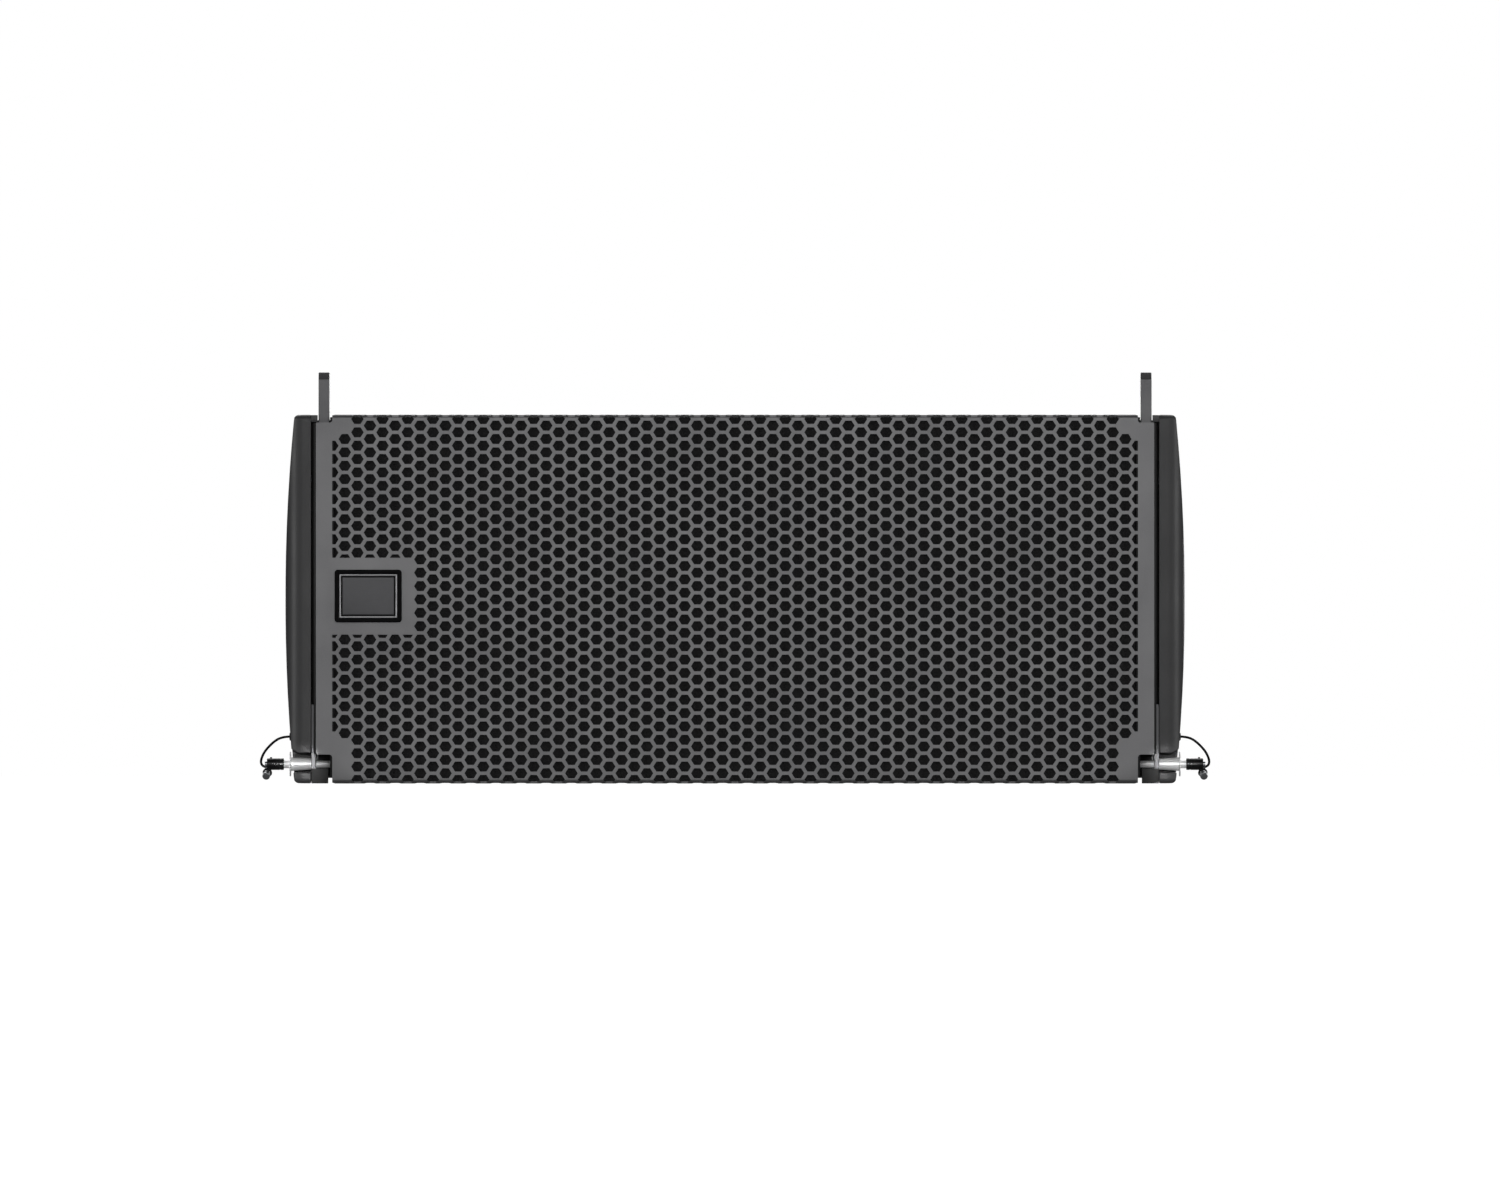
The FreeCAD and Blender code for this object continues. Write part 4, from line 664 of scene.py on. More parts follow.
def softened(node: str, width: float, name: str = "") -> bpy.types.Object:
    """A merged copy of a CAD node with its sharp edges rounded off.

    Args:
        node: CAD node that is copied.
        width: Width of the rounding in millimetres.
        name: Name of the copy.

    Returns:
        The copy, as a plain mesh.
    """
    bm = bmesh.new()
    bm.from_mesh(frame["nodes"][node].data)
    bmesh.ops.remove_doubles(bm, verts=bm.verts, dist=2e-6)
    bmesh.ops.dissolve_limit(bm, angle_limit=math.radians(FLAT_WITHIN), verts=bm.verts, edges=bm.edges)
    mesh = bpy.data.meshes.new(name or node)
    bm.to_mesh(mesh)
    bm.free()
    made = stand(name or node + "_eased", mesh)
    bevel = made.modifiers.new("Ease", "BEVEL")
    bevel.width, bevel.segments = width * MM, 2
    bevel.limit_method, bevel.angle_limit = "ANGLE", math.radians(EASE_ABOVE)
    bevel.use_clamp_overlap = False
    bevel.miter_outer = "MITER_ARC"
    flatten(made)
    shade(made.data, SHARP_ABOVE)
    return evened(made)


def evened(made: bpy.types.Object) -> bpy.types.Object:
    """Lets the large faces of a piece set its shading, so that eased edges don't cloud them.

    Args:
        made: The piece.

    Returns:
        The same piece.
    """
    weighted = made.modifiers.new("Evened", "WEIGHTED_NORMAL")
    weighted.weight, weighted.keep_sharp = 80, True
    flatten(made)
    return made


def flatten(made: bpy.types.Object) -> None:
    """Replaces an object's mesh by what its modifiers make of it, and removes them.

    Args:
        made: The object.
    """
    bpy.context.view_layer.update()
    result = bpy.data.meshes.new_from_object(made.evaluated_get(bpy.context.evaluated_depsgraph_get()))
    made.modifiers.clear()
    made.data = result


def grow(made: bpy.types.Object, tree: bpy.types.NodeTree, values: dict[str, object]) -> None:
    """Runs a geometry tree on an object and keeps its result as a plain mesh.

    Args:
        made: The object that carries the tree's starting geometry.
        tree: The geometry tree.
        values: Value of each named input.
    """
    modifier = made.modifiers.new(tree.name, "NODES")
    modifier.node_group = tree
    for item in tree.interface.items_tree:
        if item.item_type == "SOCKET" and item.in_out == "INPUT" and item.name in values:
            modifier[item.identifier] = values[item.name]
    flatten(made)


def new_tree(name: str, inputs: dict[str, str]) -> tuple[bpy.types.NodeTree, dict[str, bpy.types.NodeSocket]]:
    """Starts a geometry tree with a geometry input and output.

    Args:
        name: Name of the tree.
        inputs: Name and socket type of each further input.

    Returns:
        The tree, and its input sockets by name.
    """
    tree = bpy.data.node_groups.new(name, "GeometryNodeTree")
    for label, kind in {"Geometry": "Geometry", **inputs}.items():
        tree.interface.new_socket(label, in_out="INPUT", socket_type="NodeSocket" + kind)
    tree.interface.new_socket("Geometry", in_out="OUTPUT", socket_type="NodeSocketGeometry")
    given = add_node(tree, "NodeGroupInput").node.outputs
    return tree, {label: given[label] for label in ("Geometry", *inputs)}


# ---------------------------------------------------------------- grille
@dataclass
class Grille:
    """The folded front sheet with its hexagonal holes, and the foam behind it.

    Sizes are in millimetres. The sheet is drawn flat, then folded back at the top and at the bottom.
    """

    columns: int = 65
    rows: int = 31
    pitch: float = 9.19
    row_pitch: float = 9.76
    first_row: float = -6.82
    half_hole: Flat = (4.6, 3.65)
    cut_line: float = 294.1
    half_width: float = 306.0
    flange_half: float = 292.3
    notch_top: float = 263.9
    notch_bottom: float = 21.5
    thickness: float = 1.5
    bend: float = 3.0
    flange: float = 18.0
    bend_steps: int = 6
    # No hole is punched beside the badge, above punched_top, or in the corners. There the last two columns at
    # each side end free_reach less corner_cut from punched_middle, and the outermost ends sooner by end_cut.
    solid_columns: float = 6.5
    solid_middle: float = 137.05
    solid_half: float = 28.05
    punched_middle: float = 144.4
    punched_top: float = 284.0
    free_reach: float = 200.0
    corner_cut: float = 90.0
    end_cut: float = 5.0
    # The foam's half width, front and thickness, its cells across and up, how far its face is sunk, and the
    # height and closeness of its waves.
    foam: tuple[float, float, float] = (292.1, -168.3, 6.0)
    foam_cells: tuple[int, int] = (120, 54)
    foam_sunk: float = 0.35
    foam_waves: Flat = (0.3, 0.11)

    # The sums behind the holes: the result's name, the operation, and two values, each a name or a number.
    SUMS: ClassVar[tuple[tuple[str, str, str | float, str | float], ...]] = (
        # The grid of hole centres, its odd columns half a row lower.
        ("last column", "SUBTRACT", "Columns", 1.0),
        ("last row", "SUBTRACT", "Rows", 1.0),
        ("size x", "MULTIPLY", "last column", "Column pitch"),
        ("size z", "MULTIPLY", "last row", "Row pitch"),
        ("middle", "MULTIPLY", "last column", 0.5),
        ("columns from middle", "DIVIDE", "x", "Column pitch"),
        ("exact column", "ADD", "columns from middle", "middle"),
        ("column", "ROUND", "exact column", 0.0),
        ("odd", "MODULO", "column", 2.0),
        ("half size z", "MULTIPLY", "size z", 0.5),
        ("even lift", "ADD", "First row", "half size z"),
        ("half if odd", "MULTIPLY", "odd", 0.5),
        ("drop", "MULTIPLY", "half if odd", "Row pitch"),
        ("lift", "SUBTRACT", "even lift", "drop"),
        # Holes that the corners, the badge and the sheet's end leave no room for.
        ("to the side", "SUBTRACT", "column", "middle"),
        ("side", "ABSOLUTE", "to the side", 0.0),
        ("last but one", "SUBTRACT", "middle", 1.5),
        ("last", "SUBTRACT", "middle", 0.5),
        ("near", "GREATER_THAN", "side", "last but one"),
        ("outer", "GREATER_THAN", "side", "last"),
        ("near cut", "MULTIPLY", "near", "corner cut"),
        ("outer cut", "MULTIPLY", "outer", "end cut"),
        ("whole cut", "ADD", "near cut", "outer cut"),
        ("limit", "SUBTRACT", "free reach", "whole cut"),
        ("over the middle", "SUBTRACT", "y", "punched middle"),
        ("off the middle", "ABSOLUTE", "over the middle", 0.0),
        ("beyond", "GREATER_THAN", "off the middle", "limit"),
        ("too high", "GREATER_THAN", "y", "punched top"),
        ("at badge", "LESS_THAN", "column", "Solid columns"),
        ("level", "SUBTRACT", "y", "Solid middle"),
        ("off level", "ABSOLUTE", "level", 0.0),
        ("covered half", "SUBTRACT", "Solid half height", 4.0),
        ("at its height", "LESS_THAN", "off level", "covered half"),
        ("outside", "ADD", "beyond", "too high"),
        ("covered", "MULTIPLY", "at badge", "at its height"),
        ("either", "ADD", "outside", "covered"),
        ("gone", "GREATER_THAN", "either", 0.5),
        # A hexagon's corner stands out further than its flats.
        ("tall", "DIVIDE", "Half height", math.sin(math.radians(60))),
        # Holes next to the badge or on the cut line end in a straight edge.
        ("home from middle", "DIVIDE", "home x", "Column pitch"),
        ("home column", "ADD", "home from middle", "middle"),
        ("home level", "SUBTRACT", "home y", "Solid middle"),
        ("home in column", "LESS_THAN", "home column", "Solid columns"),
        ("home off level", "ABSOLUTE", "home level", 0.0),
        ("beside half", "ADD", "Solid half height", 2.0),
        ("home at height", "LESS_THAN", "home off level", "beside half"),
        ("beside", "MULTIPLY", "home in column", "home at height"),
        ("nearest", "MULTIPLY", "beside", "Solid half height"),
        ("kept off", "MAXIMUM", "off level", "nearest"),
        ("up or down", "SIGN", "level", 0.0),
        ("new level", "MULTIPLY", "up or down", "kept off"),
        ("new z", "ADD", "Solid middle", "new level"),
        ("quarter width", "MULTIPLY", "Half width", 0.5),
        ("slope", "DIVIDE", "quarter width", "Half height"),
        ("risen", "SUBTRACT", "new z", "home y"),
        ("rise", "ABSOLUTE", "risen", 0.0),
        ("narrowing", "MULTIPLY", "slope", "rise"),
        ("reach", "SUBTRACT", "Half width", "narrowing"),
        ("sideways", "SUBTRACT", "x", "home x"),
        ("left or right", "SIGN", "sideways", 0.0),
        ("aside", "ABSOLUTE", "sideways", 0.0),
        ("kept aside", "MINIMUM", "aside", "reach"),
        ("new sideways", "MULTIPLY", "left or right", "kept aside"),
        ("moved x", "ADD", "home x", "new sideways"),
        ("below cut", "MINIMUM", "moved x", "Cut line"),
        ("other cut line", "MULTIPLY", "Cut line", -1.0),
        ("new x", "MAXIMUM", "below cut", "other cut line"),
    )

    @property
    def leg(self) -> float:
        """From the outer corner of a fold to where the flat face ends."""
        return self.bend * math.tan(math.radians(47.5))

    @property
    def arc(self) -> float:
        """Length of a fold round its outside."""
        return self.bend * math.radians(95.0)

    def outline(self) -> list[Flat]:
        """Draws the flat sheet's right half from bottom to top, and its mirror image.

        Returns:
            Its corners in order, across and up.
        """
        end = self.arc - self.leg + self.flange - self.leg
        right = [(self.flange_half, -end), (self.flange_half, -0.4), (self.cut_line, 0.6),
                 (self.cut_line, self.notch_bottom - 2), (self.cut_line + 0.6, self.notch_bottom - 0.6),
                 (self.cut_line + 2, self.notch_bottom), (self.half_width - 0.8, self.notch_bottom),
                 (self.half_width, self.notch_bottom + 0.8), (self.half_width, self.notch_top - 0.8),
                 (self.half_width - 0.8, self.notch_top), (self.cut_line + 1, self.notch_top),
                 (self.cut_line, self.notch_top + 1), (self.cut_line, HEIGHT - 0.6),
                 (self.flange_half, HEIGHT + 0.4), (self.flange_half, HEIGHT + end)]
        return right + [(-x, z) for x, z in reversed(right)]

    def tree(self) -> bpy.types.NodeTree:
        """Builds the tree that punches the holes and gives the sheet its thickness.

        Returns:
            The geometry tree.
        """
        tree, given = new_tree("Punched_sheet", {
            "Columns": "Int", "Rows": "Int", "Column pitch": "Float", "Row pitch": "Float",
            "First row": "Float", "Half width": "Float", "Half height": "Float", "Cut line": "Float",
            "Solid columns": "Float", "Solid middle": "Float", "Solid half height": "Float",
            "Thickness": "Float", "Material": "Material"})
        place = add_node(tree, "GeometryNodeInputPosition")
        here = add_node(tree, "ShaderNodeSeparateXYZ", {0: place}).node.outputs
        centre = add_node(tree, "GeometryNodeInputNamedAttribute", {"Name": "centre"},
                          data_type="FLOAT_VECTOR")
        home = add_node(tree, "ShaderNodeSeparateXYZ", {0: centre}).node.outputs
        known = {**given, "x": here["X"], "y": here["Y"], "home x": home["X"], "home y": home["Y"],
                 "punched middle": self.punched_middle, "punched top": self.punched_top,
                 "free reach": self.free_reach, "corner cut": self.corner_cut, "end cut": self.end_cut}
        for name, operation, first, second in self.SUMS:
            known[name] = add_node(tree, "ShaderNodeMath", {0: known.get(first, first),
                                                            1: known.get(second, second)},
                                                            operation=operation)
        grid = add_node(tree, "GeometryNodeMeshGrid", {"Size X": known["size x"], "Size Y": known["size z"],
                                                       "Vertices X": given["Columns"],
                                                       "Vertices Y": given["Rows"]})
        lift = add_node(tree, "ShaderNodeCombineXYZ", {1: known["lift"]})
        grid = add_node(tree, "GeometryNodeSetPosition", {"Geometry": grid, "Offset": lift})
        grid = add_node(tree, "GeometryNodeDeleteGeometry", {"Geometry": grid, "Selection": known["gone"]})
        grid = add_node(tree, "GeometryNodeStoreNamedAttribute",
                        {"Geometry": grid, "Name": "centre", "Value": place}, data_type="FLOAT_VECTOR")
        ring = add_node(tree, "GeometryNodeCurvePrimitiveCircle", {"Resolution": 6, "Radius": 1.0})
        size = add_node(tree, "ShaderNodeCombineXYZ", {0: given["Half width"], 1: known["tall"], 2: 1.0})
        holes = add_node(tree, "GeometryNodeInstanceOnPoints",
                         {"Points": grid, "Instance": ring, "Scale": size})
        holes = add_node(tree, "GeometryNodeRealizeInstances", {"Geometry": holes})
        moved = add_node(tree, "ShaderNodeCombineXYZ", {0: known["new x"], 1: known["new z"]})
        holes = add_node(tree, "GeometryNodeSetPosition", {"Geometry": holes, "Position": moved})
        edge = add_node(tree, "GeometryNodeMeshToCurve", {"Mesh": given["Geometry"]})
        joined = add_node(tree, "GeometryNodeJoinGeometry", {"Geometry": holes})
        tree.links.new(edge, joined.node.inputs["Geometry"])
        sheet = add_node(tree, "GeometryNodeFillCurve", {"Curve": joined}, mode="TRIANGLES")
        raised = add_node(tree, "GeometryNodeExtrudeMesh",
                          {"Mesh": sheet, "Offset Scale": given["Thickness"], "Individual": False},
                          mode="FACES")
        closed = add_node(tree, "GeometryNodeJoinGeometry", {"Geometry": raised})
        tree.links.new(add_node(tree, "GeometryNodeFlipFaces", {"Mesh": sheet}),
                       closed.node.inputs["Geometry"])
        closed = add_node(tree, "GeometryNodeMergeByDistance", {"Geometry": closed, "Distance": 0.0005})
        closed = add_node(tree, "GeometryNodeRealizeInstances", {"Geometry": closed})
        closed = add_node(tree, "GeometryNodeSetMaterial",
                          {"Geometry": closed, "Material": given["Material"]})
        add_node(tree, "NodeGroupOutput", {"Geometry": closed})
        return tree

    def folded(self, flat: Vector) -> Vector:
        """Where a point of the flat sheet lies once the sheet is folded.

        Args:
            flat: Across, along and out of the flat sheet.

        Returns:
            The point at its place on the cabinet.
        """
        depth = self.thickness - flat.z
        top = flat.y > HEIGHT / 2
        along = flat.y if top else HEIGHT - flat.y
        past = along - (HEIGHT - self.leg)
        if past <= 0:
            y, z = Y_FACE + depth, along
        else:
            turn = min(past, self.arc) / self.bend
            beyond = max(0.0, past - self.arc)
            y = Y_FACE + self.bend - (self.bend - depth) * math.cos(turn) + beyond * math.sin(turn)
            z = HEIGHT - self.leg + (self.bend - depth) * math.sin(turn) + beyond * math.cos(turn)
        return Vector((flat.x, y, z if top else HEIGHT - z))

    def sheet(self) -> None:
        """Makes the perforated sheet."""
        points = self.outline()
        mesh = bpy.data.meshes.new("grille_outline")
        mesh.from_pydata([(x, z, 0) for x, z in points],
                         [(k, (k + 1) % len(points)) for k in range(len(points))], [])
        made = stand("grille_sheet", mesh)
        grow(made, self.tree(), {
            "Columns": self.columns, "Rows": self.rows, "Column pitch": self.pitch,
            "Row pitch": self.row_pitch, "First row": self.first_row, "Half width": self.half_hole[0],
            "Half height": self.half_hole[1], "Cut line": self.cut_line,
            "Solid columns": self.solid_columns, "Solid middle": self.solid_middle,
            "Solid half height": self.solid_half, "Thickness": self.thickness,
            "Material": material_of("grille_steel")})
        bm = bmesh.new()
        bm.from_mesh(made.data)
        for k in range(self.bend_steps + 1):
            past = self.arc * k / self.bend_steps - self.leg
            for level in (HEIGHT + past, -past):
                near = [f for f in bm.faces
                        if min(v.co.y for v in f.verts) <= level <= max(v.co.y for v in f.verts)]
                edges = {e for f in near for e in f.edges}
                verts = {v for f in near for v in f.verts}
                bmesh.ops.bisect_plane(bm, geom=near + list(edges) + list(verts), dist=1e-5,
                                       plane_co=(0, level, 0), plane_no=(0, 1, 0))
        for vertex in bm.verts:
            vertex.co = self.folded(vertex.co) * MM
        bmesh.ops.recalc_face_normals(bm, faces=bm.faces)
        bm.to_mesh(made.data)
        bm.free()
        centre = made.data.attributes.get("centre")
        if centre:
            made.data.attributes.remove(centre)
        shade(made.data, 30.0)
        settle(made, "grille_steel", nodes=("grille",))

    def backing(self) -> None:
        """Makes the foam sheet, its front face slightly uneven."""
        half, front, thick = self.foam
        across, up = self.foam_cells
        swell, scale = self.foam_waves
        bm = bmesh.new()
        grids = []
        for layer in (0, 1):
            y_flat = front + self.foam_sunk + layer * (thick - self.foam_sunk)
            low = 2.0 + (y_flat - Y_FACE) * math.tan(TAPER)
            grid = []
            for j in range(up + 1):
                z, line = low + (HEIGHT - 2 * low) * (j / up), []
                for x in (half * (2 * i / across - 1) for i in range(across + 1)):
                    wave = 0.0 if layer else swell * noise.noise(Vector((x * scale, z * scale, 3.7)))
                    line.append(bm.verts.new((x, y_flat + wave, z)))
                grid.append(line)
            grids.append(grid)
        for grid in grids:
            for j in range(up):
                for i in range(across):
                    bm.faces.new((grid[j][i], grid[j][i + 1], grid[j + 1][i + 1], grid[j + 1][i]))
        rim = [grid[0] + [line[-1] for line in grid[1:]] + grid[-1][-2::-1]
               + [line[0] for line in grid[-2:0:-1]] for grid in grids]
        count = len(rim[0])
        for k in range(count):
            bm.faces.new((rim[0][k], rim[0][(k + 1) % count], rim[1][(k + 1) % count], rim[1][k]))
        settle(from_bmesh("foam_backing", bm), "acoustic_foam", nodes=("grille_foam",))

    def build(self) -> None:
        """Makes the sheet and the foam."""
        self.sheet()
        self.backing()


@dataclass
class Badge:
    """The badge: a moulded frame round a blank metal plate with a bright rim and a dark groove."""

    half: Flat = (24.45, 19.2)
    rim: float = 3.1
    proud: float = 2.5
    plate: float = 1.6
    trim: float = 1.3
    groove: float = 1.1

    def ring(self, name: str, out: float, width: float, low: float, high: float, radius: float,
             slot: str, dress: str, nodes: tuple[str, ...] = ()) -> None:
        """Makes a rectangular ring with softened edges.

        Args:
            name: Name of the piece.
            out: How far its outside lies in from the badge's outside.
            width: Width of the ring.
            low: Height of its back above the grille.
            high: Height of its front above the grille.
            radius: Corner radius outside.
            slot: The record's material slot.
            dress: Key of its finish.
            nodes: CAD nodes that it replaces.
        """
        profile = eased([(0, low), (0, high), (width, high), (width, low)], 0.45, 3, True)
        loops = [rectangle(BADGE_AT, self.half[0] - out - inset, self.half[1] - out - inset,
                           max(0.3, radius - inset), Y_FACE - level) for inset, level in profile]
        bm = bmesh.new()
        skin(bm, loops, ring=True)
        settle(from_bmesh(name, bm), slot, nodes=nodes, dress=dress)

    def build(self) -> None:
        """Makes the frame, the rim, the groove and the plate."""
        self.ring("badge_frame", 0.0, self.rim, 0.0, self.proud, 2.2, "badge_plastic", "badge_plastic",
                  ("badge_bezel",))
        inner = self.rim + 0.1
        self.ring("badge_rim", inner, self.trim, 0.1, self.plate, 0.9, "badge_plate", "badge_trim")
        self.ring("badge_groove", inner + self.trim, self.groove, 0.1, self.plate - 0.5, 0.6, "badge_plate",
                  "badge_groove")
        inset = inner + self.trim + self.groove
        bm = bmesh.new()
        loops = [rectangle(BADGE_AT, self.half[0] - inset - a, self.half[1] - inset - a, 0.8, Y_FACE - level)
                 for a, level in ((0, 0.1), (0, self.plate - 0.4), (0.15, self.plate - 0.1),
                                  (0.5, self.plate - 0.05))]
        skin(bm, loops)
        settle(from_bmesh("badge_face", bm), "badge_plate", nodes=("badge_plate",))


# ---------------------------------------------------------------- quick-release pins and their lanyards
@dataclass
class QuickPin:
    """A quick-release pin with its push button, eye, ferrule and lanyard.

    Attributes:
        side: left, right or rear.
        shoulder: Where its collar stands, from the centre plane.
        axis_y: Depth of its axis.
        axis_z: Height of its axis.
        route: The lanyard's route, from the grommet to the ferrule.
    """

    side: str
    shoulder: float
    axis_y: float
    axis_z: float
    route: list[Point]
    grip: float = 24.0
    wire: float = 0.9
    eye_out: float = 32.3
    eye_drop: float = 6.2
    ball_back: float = 4.6
    cross_out: float = 29.6
    sleeve_gap: float = 2.9

    @property
    def sign(self) -> int:
        """-1 for the left-hand pin, which points the other way."""
        return -1 if self.side == "left" else 1

    def at(self, out: float, y: float = 0.0, z: float = 0.0) -> Point:
        """A point given by its distance beyond the shoulder and its offsets from the axis."""
        return self.sign * (self.shoulder + out), self.axis_y + y, self.axis_z + z

    def shank(self) -> None:
        """Makes the shank, the collar, the flange and the neck, with the two lock balls."""
        bm = bmesh.new()
        body = [(-self.grip, 0), (-self.grip, 1.9), (-self.grip + 0.9, 2.5), (-0.01, 2.5), (0, 3.9),
                (0.5, 4.1),
                (14.6, 4.98), (15, 4.9), (15.0, 8.7), (15.3, 9.0), (15.7, 9.0), (16, 8.7), (16, 3.0),
                (20.2, 3.0), (20.2, 0)]
        lathe(bm, eased(body, 0.2, 2), self.at(0), (self.sign, 0, 0), 40)
        for up in (-1, 1):
            centre = self.at(-self.grip + self.ball_back, 0, up * 1.85)
            dome = [(0.65 * -math.cos(a), 0.65 * math.sin(a)) for a in (math.pi * k / 8 for k in range(9))]
            lathe(bm, dome, centre, (0, 0, 1), 16)
            lathe(bm, [(0.0, 0.7), (0.0, 1.0), (0.22, 0.95), (0.22, 0.72)],
                  self.at(-self.grip + self.ball_back, 0, up * 2.38), (0, 0, up), 20, ring=True)
        settle(from_bmesh(f"pin_shank_{self.side}", bm, 30.0), "pin_chrome", f"quick_pin_{self.side}",
               (f"pin_{self.side}",))

    def handle(self) -> None:
        """Makes the barrel with its two grooves, the cross pin, and the ring that holds the eye."""
        bm = bmesh.new()
        grooves = [(20.2, 2.0), (20.2, 3.9), (20.6, 4.3), (22.6, 4.3), (22.8, 4.05), (23.2, 4.05),
                   (23.4, 4.3),
                   (31.6, 4.3), (32.2, 4.3), (32.6, 3.9), (32.6, 2.5), (24.6, 2.5), (24.6, 2.0)]
        lathe(bm, grooves, self.at(0), (self.sign, 0, 0), 40, ring=True)
        lathe(bm, eased([(2.7, 0), (2.7, 0.8), (5.1, 0.8), (5.1, 0)], 0.25), self.at(self.cross_out),
              (0, 0, 1), 16)
        way = self.eye_way()
        ring_r, bar = 2.7, 0.8
        profile = [(bar * math.sin(a),
                    ring_r + bar * math.cos(a)) for a in (2 * math.pi * k / 12 for k in range(12))]
        lathe(bm, profile, self.at(self.eye_out, 0, -self.eye_drop), way, 36, ring=True)
        lathe(bm, eased([(0, 0), (0, 0.9), (3.4, 0.9), (3.4, 0)], 0.2), self.at(self.eye_out - 1.4, 0, -5.4),
              (0, 0, 1), 16)
        settle(from_bmesh(f"pin_barrel_{self.side}", bm), "handle_black", f"quick_pin_{self.side}",
               (f"pin_handle_{self.side}",))

    def button(self) -> None:
        """Makes the push button with its dished end."""
        profile = [(27.8, 0), (27.8, 2.2), (33.8, 2.2), (34.2, 1.9), (34.2, 1.4), (34.0, 0.9), (33.95, 0)]
        bm = bmesh.new()
        lathe(bm, eased(profile, 0.2), self.at(0), (self.sign, 0, 0), 40)
        settle(from_bmesh(f"push_button_{self.side}", bm), "button_steel", f"button_{self.side}",
               (f"pin_button_{self.side}",))

    def eye_way(self) -> Vector:
        """The direction in which the lanyard runs through the eye."""
        eye = Vector(self.at(self.eye_out, 0, -self.eye_drop))
        return (eye - Vector(self.route[-1])).normalized()

    def ferrule(self) -> None:
        """Makes the pressed sleeve below the eye, with the marks of the press."""
        start = Vector(self.at(self.eye_out, 0, -self.eye_drop)) + self.eye_way() * self.sleeve_gap
        profile = eased([(0, 0), (0, 2.5), (0.4, 2.8), (1.2, 2.8), (1.4, 2.55), (2.0, 2.55), (2.2, 2.8),
                         (2.8, 2.8),
                         (3.0, 2.55), (3.6, 2.55), (3.8, 2.8), (4.6, 2.8), (5.0, 2.5), (5.0, 0)], 0.15, 2)
        bm = bmesh.new()
        lathe(bm, profile, tuple(start), tuple(self.eye_way()), 28)
        settle(from_bmesh(f"sleeve_{self.side}", bm), "ferrule_metal", f"quick_pin_{self.side}",
               (f"ferrule_{self.side}",))

    def lanyard(self) -> None:
        """Makes the lanyard as a tube that follows the spline of its route."""
        eye = Vector(self.at(self.eye_out, 0, -self.eye_drop))
        points = [Vector(p) for p in self.route] + [eye + self.eye_way() * self.sleeve_gap]
        curve = bpy.data.curves.new("lanyard_route", "CURVE")
        curve.dimensions, curve.resolution_u = "3D", 12
        spline = curve.splines.new("NURBS")
        spline.points.add(len(points) - 1)
        for point, place in zip(spline.points, points):
            point.co = (*(place * MM), 1.0)
        spline.order_u = 3
        spline.use_endpoint_u = True
        carrier = stand("lanyard_route", curve)
        bpy.context.view_layer.update()
        line = bpy.data.meshes.new_from_object(carrier.evaluated_get(bpy.context.evaluated_depsgraph_get()))
        path = [v.co.copy() for v in line.vertices]
        bpy.data.objects.remove(carrier)
        made = self.tube(f"lanyard_cord_{self.side}", path)
        settle(made, "lanyard_wire", "", (f"lanyard_{self.side}",))
        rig.blend(made, "root", f"quick_pin_{self.side}", start=tuple(path[0]), end=tuple(eye * MM))
        length = sum((b - a).length for a, b in zip(path, path[1:]))
        LOG.info("lanyard %s: %.1f mm", self.side, length / MM)
        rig.cord(made, exit=tuple(path[0]), length=length, diameter=2 * self.wire * MM, far_end="object",
                stiffness="limp", lay="hanging", path=[tuple(p) for p in path])

    def tube(self, name: str, path: list[Vector], around: int = 12) -> bpy.types.Object:
        """Sweeps a circle along a path, with a UV map that the twisted strands follow.

        Args:
            name: Name of the piece.
            path: Points of the centreline in metres.
            around: Segments round the wire.

        Returns:
            The tube.
        """
        bm = bmesh.new()
        layer = bm.loops.layers.uv.new("Along")
        ways = [(b - a).normalized() for a, b in zip(path, path[1:])]
        ways.append(ways[-1])
        side = ways[0].orthogonal().normalized()
        rows, runs, run = [], [], 0.0
        for k, (here, way) in enumerate(zip(path, ways)):
            side = (side - way * side.dot(way)).normalized()
            other = way.cross(side)
            rows.append([bm.verts.new(here + (side * math.cos(a) + other * math.sin(a)) * self.wire * MM)
                         for a in (2 * math.pi * i / around for i in range(around))])
            run += (path[k] - path[k - 1]).length if k else 0.0
            runs.append(run)
        girth = 2 * math.pi * self.wire * MM
        for k in range(len(rows) - 1):
            for i in range(around):
                j = (i + 1) % around
                face = bm.faces.new((rows[k][i], rows[k][j], rows[k + 1][j], rows[k + 1][i]))
                turns = (i / around, (i + 1) / around, (i + 1) / around, i / around)
                for loop, turn, along in zip(face.loops, turns, (runs[k], runs[k], runs[k + 1], runs[k + 1])):
                    loop[layer].uv = (turn * girth, along)
        bm.faces.new(rows[0])
        bm.faces.new(rows[-1])
        bmesh.ops.recalc_face_normals(bm, faces=bm.faces)
        mesh = bpy.data.meshes.new(name)
        bm.to_mesh(mesh)
        bm.free()
        shade(mesh, 60.0)
        return stand(name, mesh)

    def build(self) -> None:
        """Makes the pin's pieces."""
        self.lanyard()
        self.shank()
        self.handle()
        self.button()
        self.ferrule()


def front_pin(side: str) -> QuickPin:
    """Sets up the front pin of one side, with its lanyard's route.

    Args:
        side: left or right.

    Returns:
        The pin, not built yet.
    """
    sign = -1 if side == "left" else 1
    route = [(325.9, -138.0, 34.4), (331.7, -137.2, 34.2), (338.4, -133.0, 30.0), (345.4, -129.6, 22.2),
             (347.6, -134.0, 13.8), (340.9, -142.0, 11.2)]
    return QuickPin(side, SHOULDER, Y_PIN, Z_PIN, [(sign * x, y, z) for x, y, z in route])


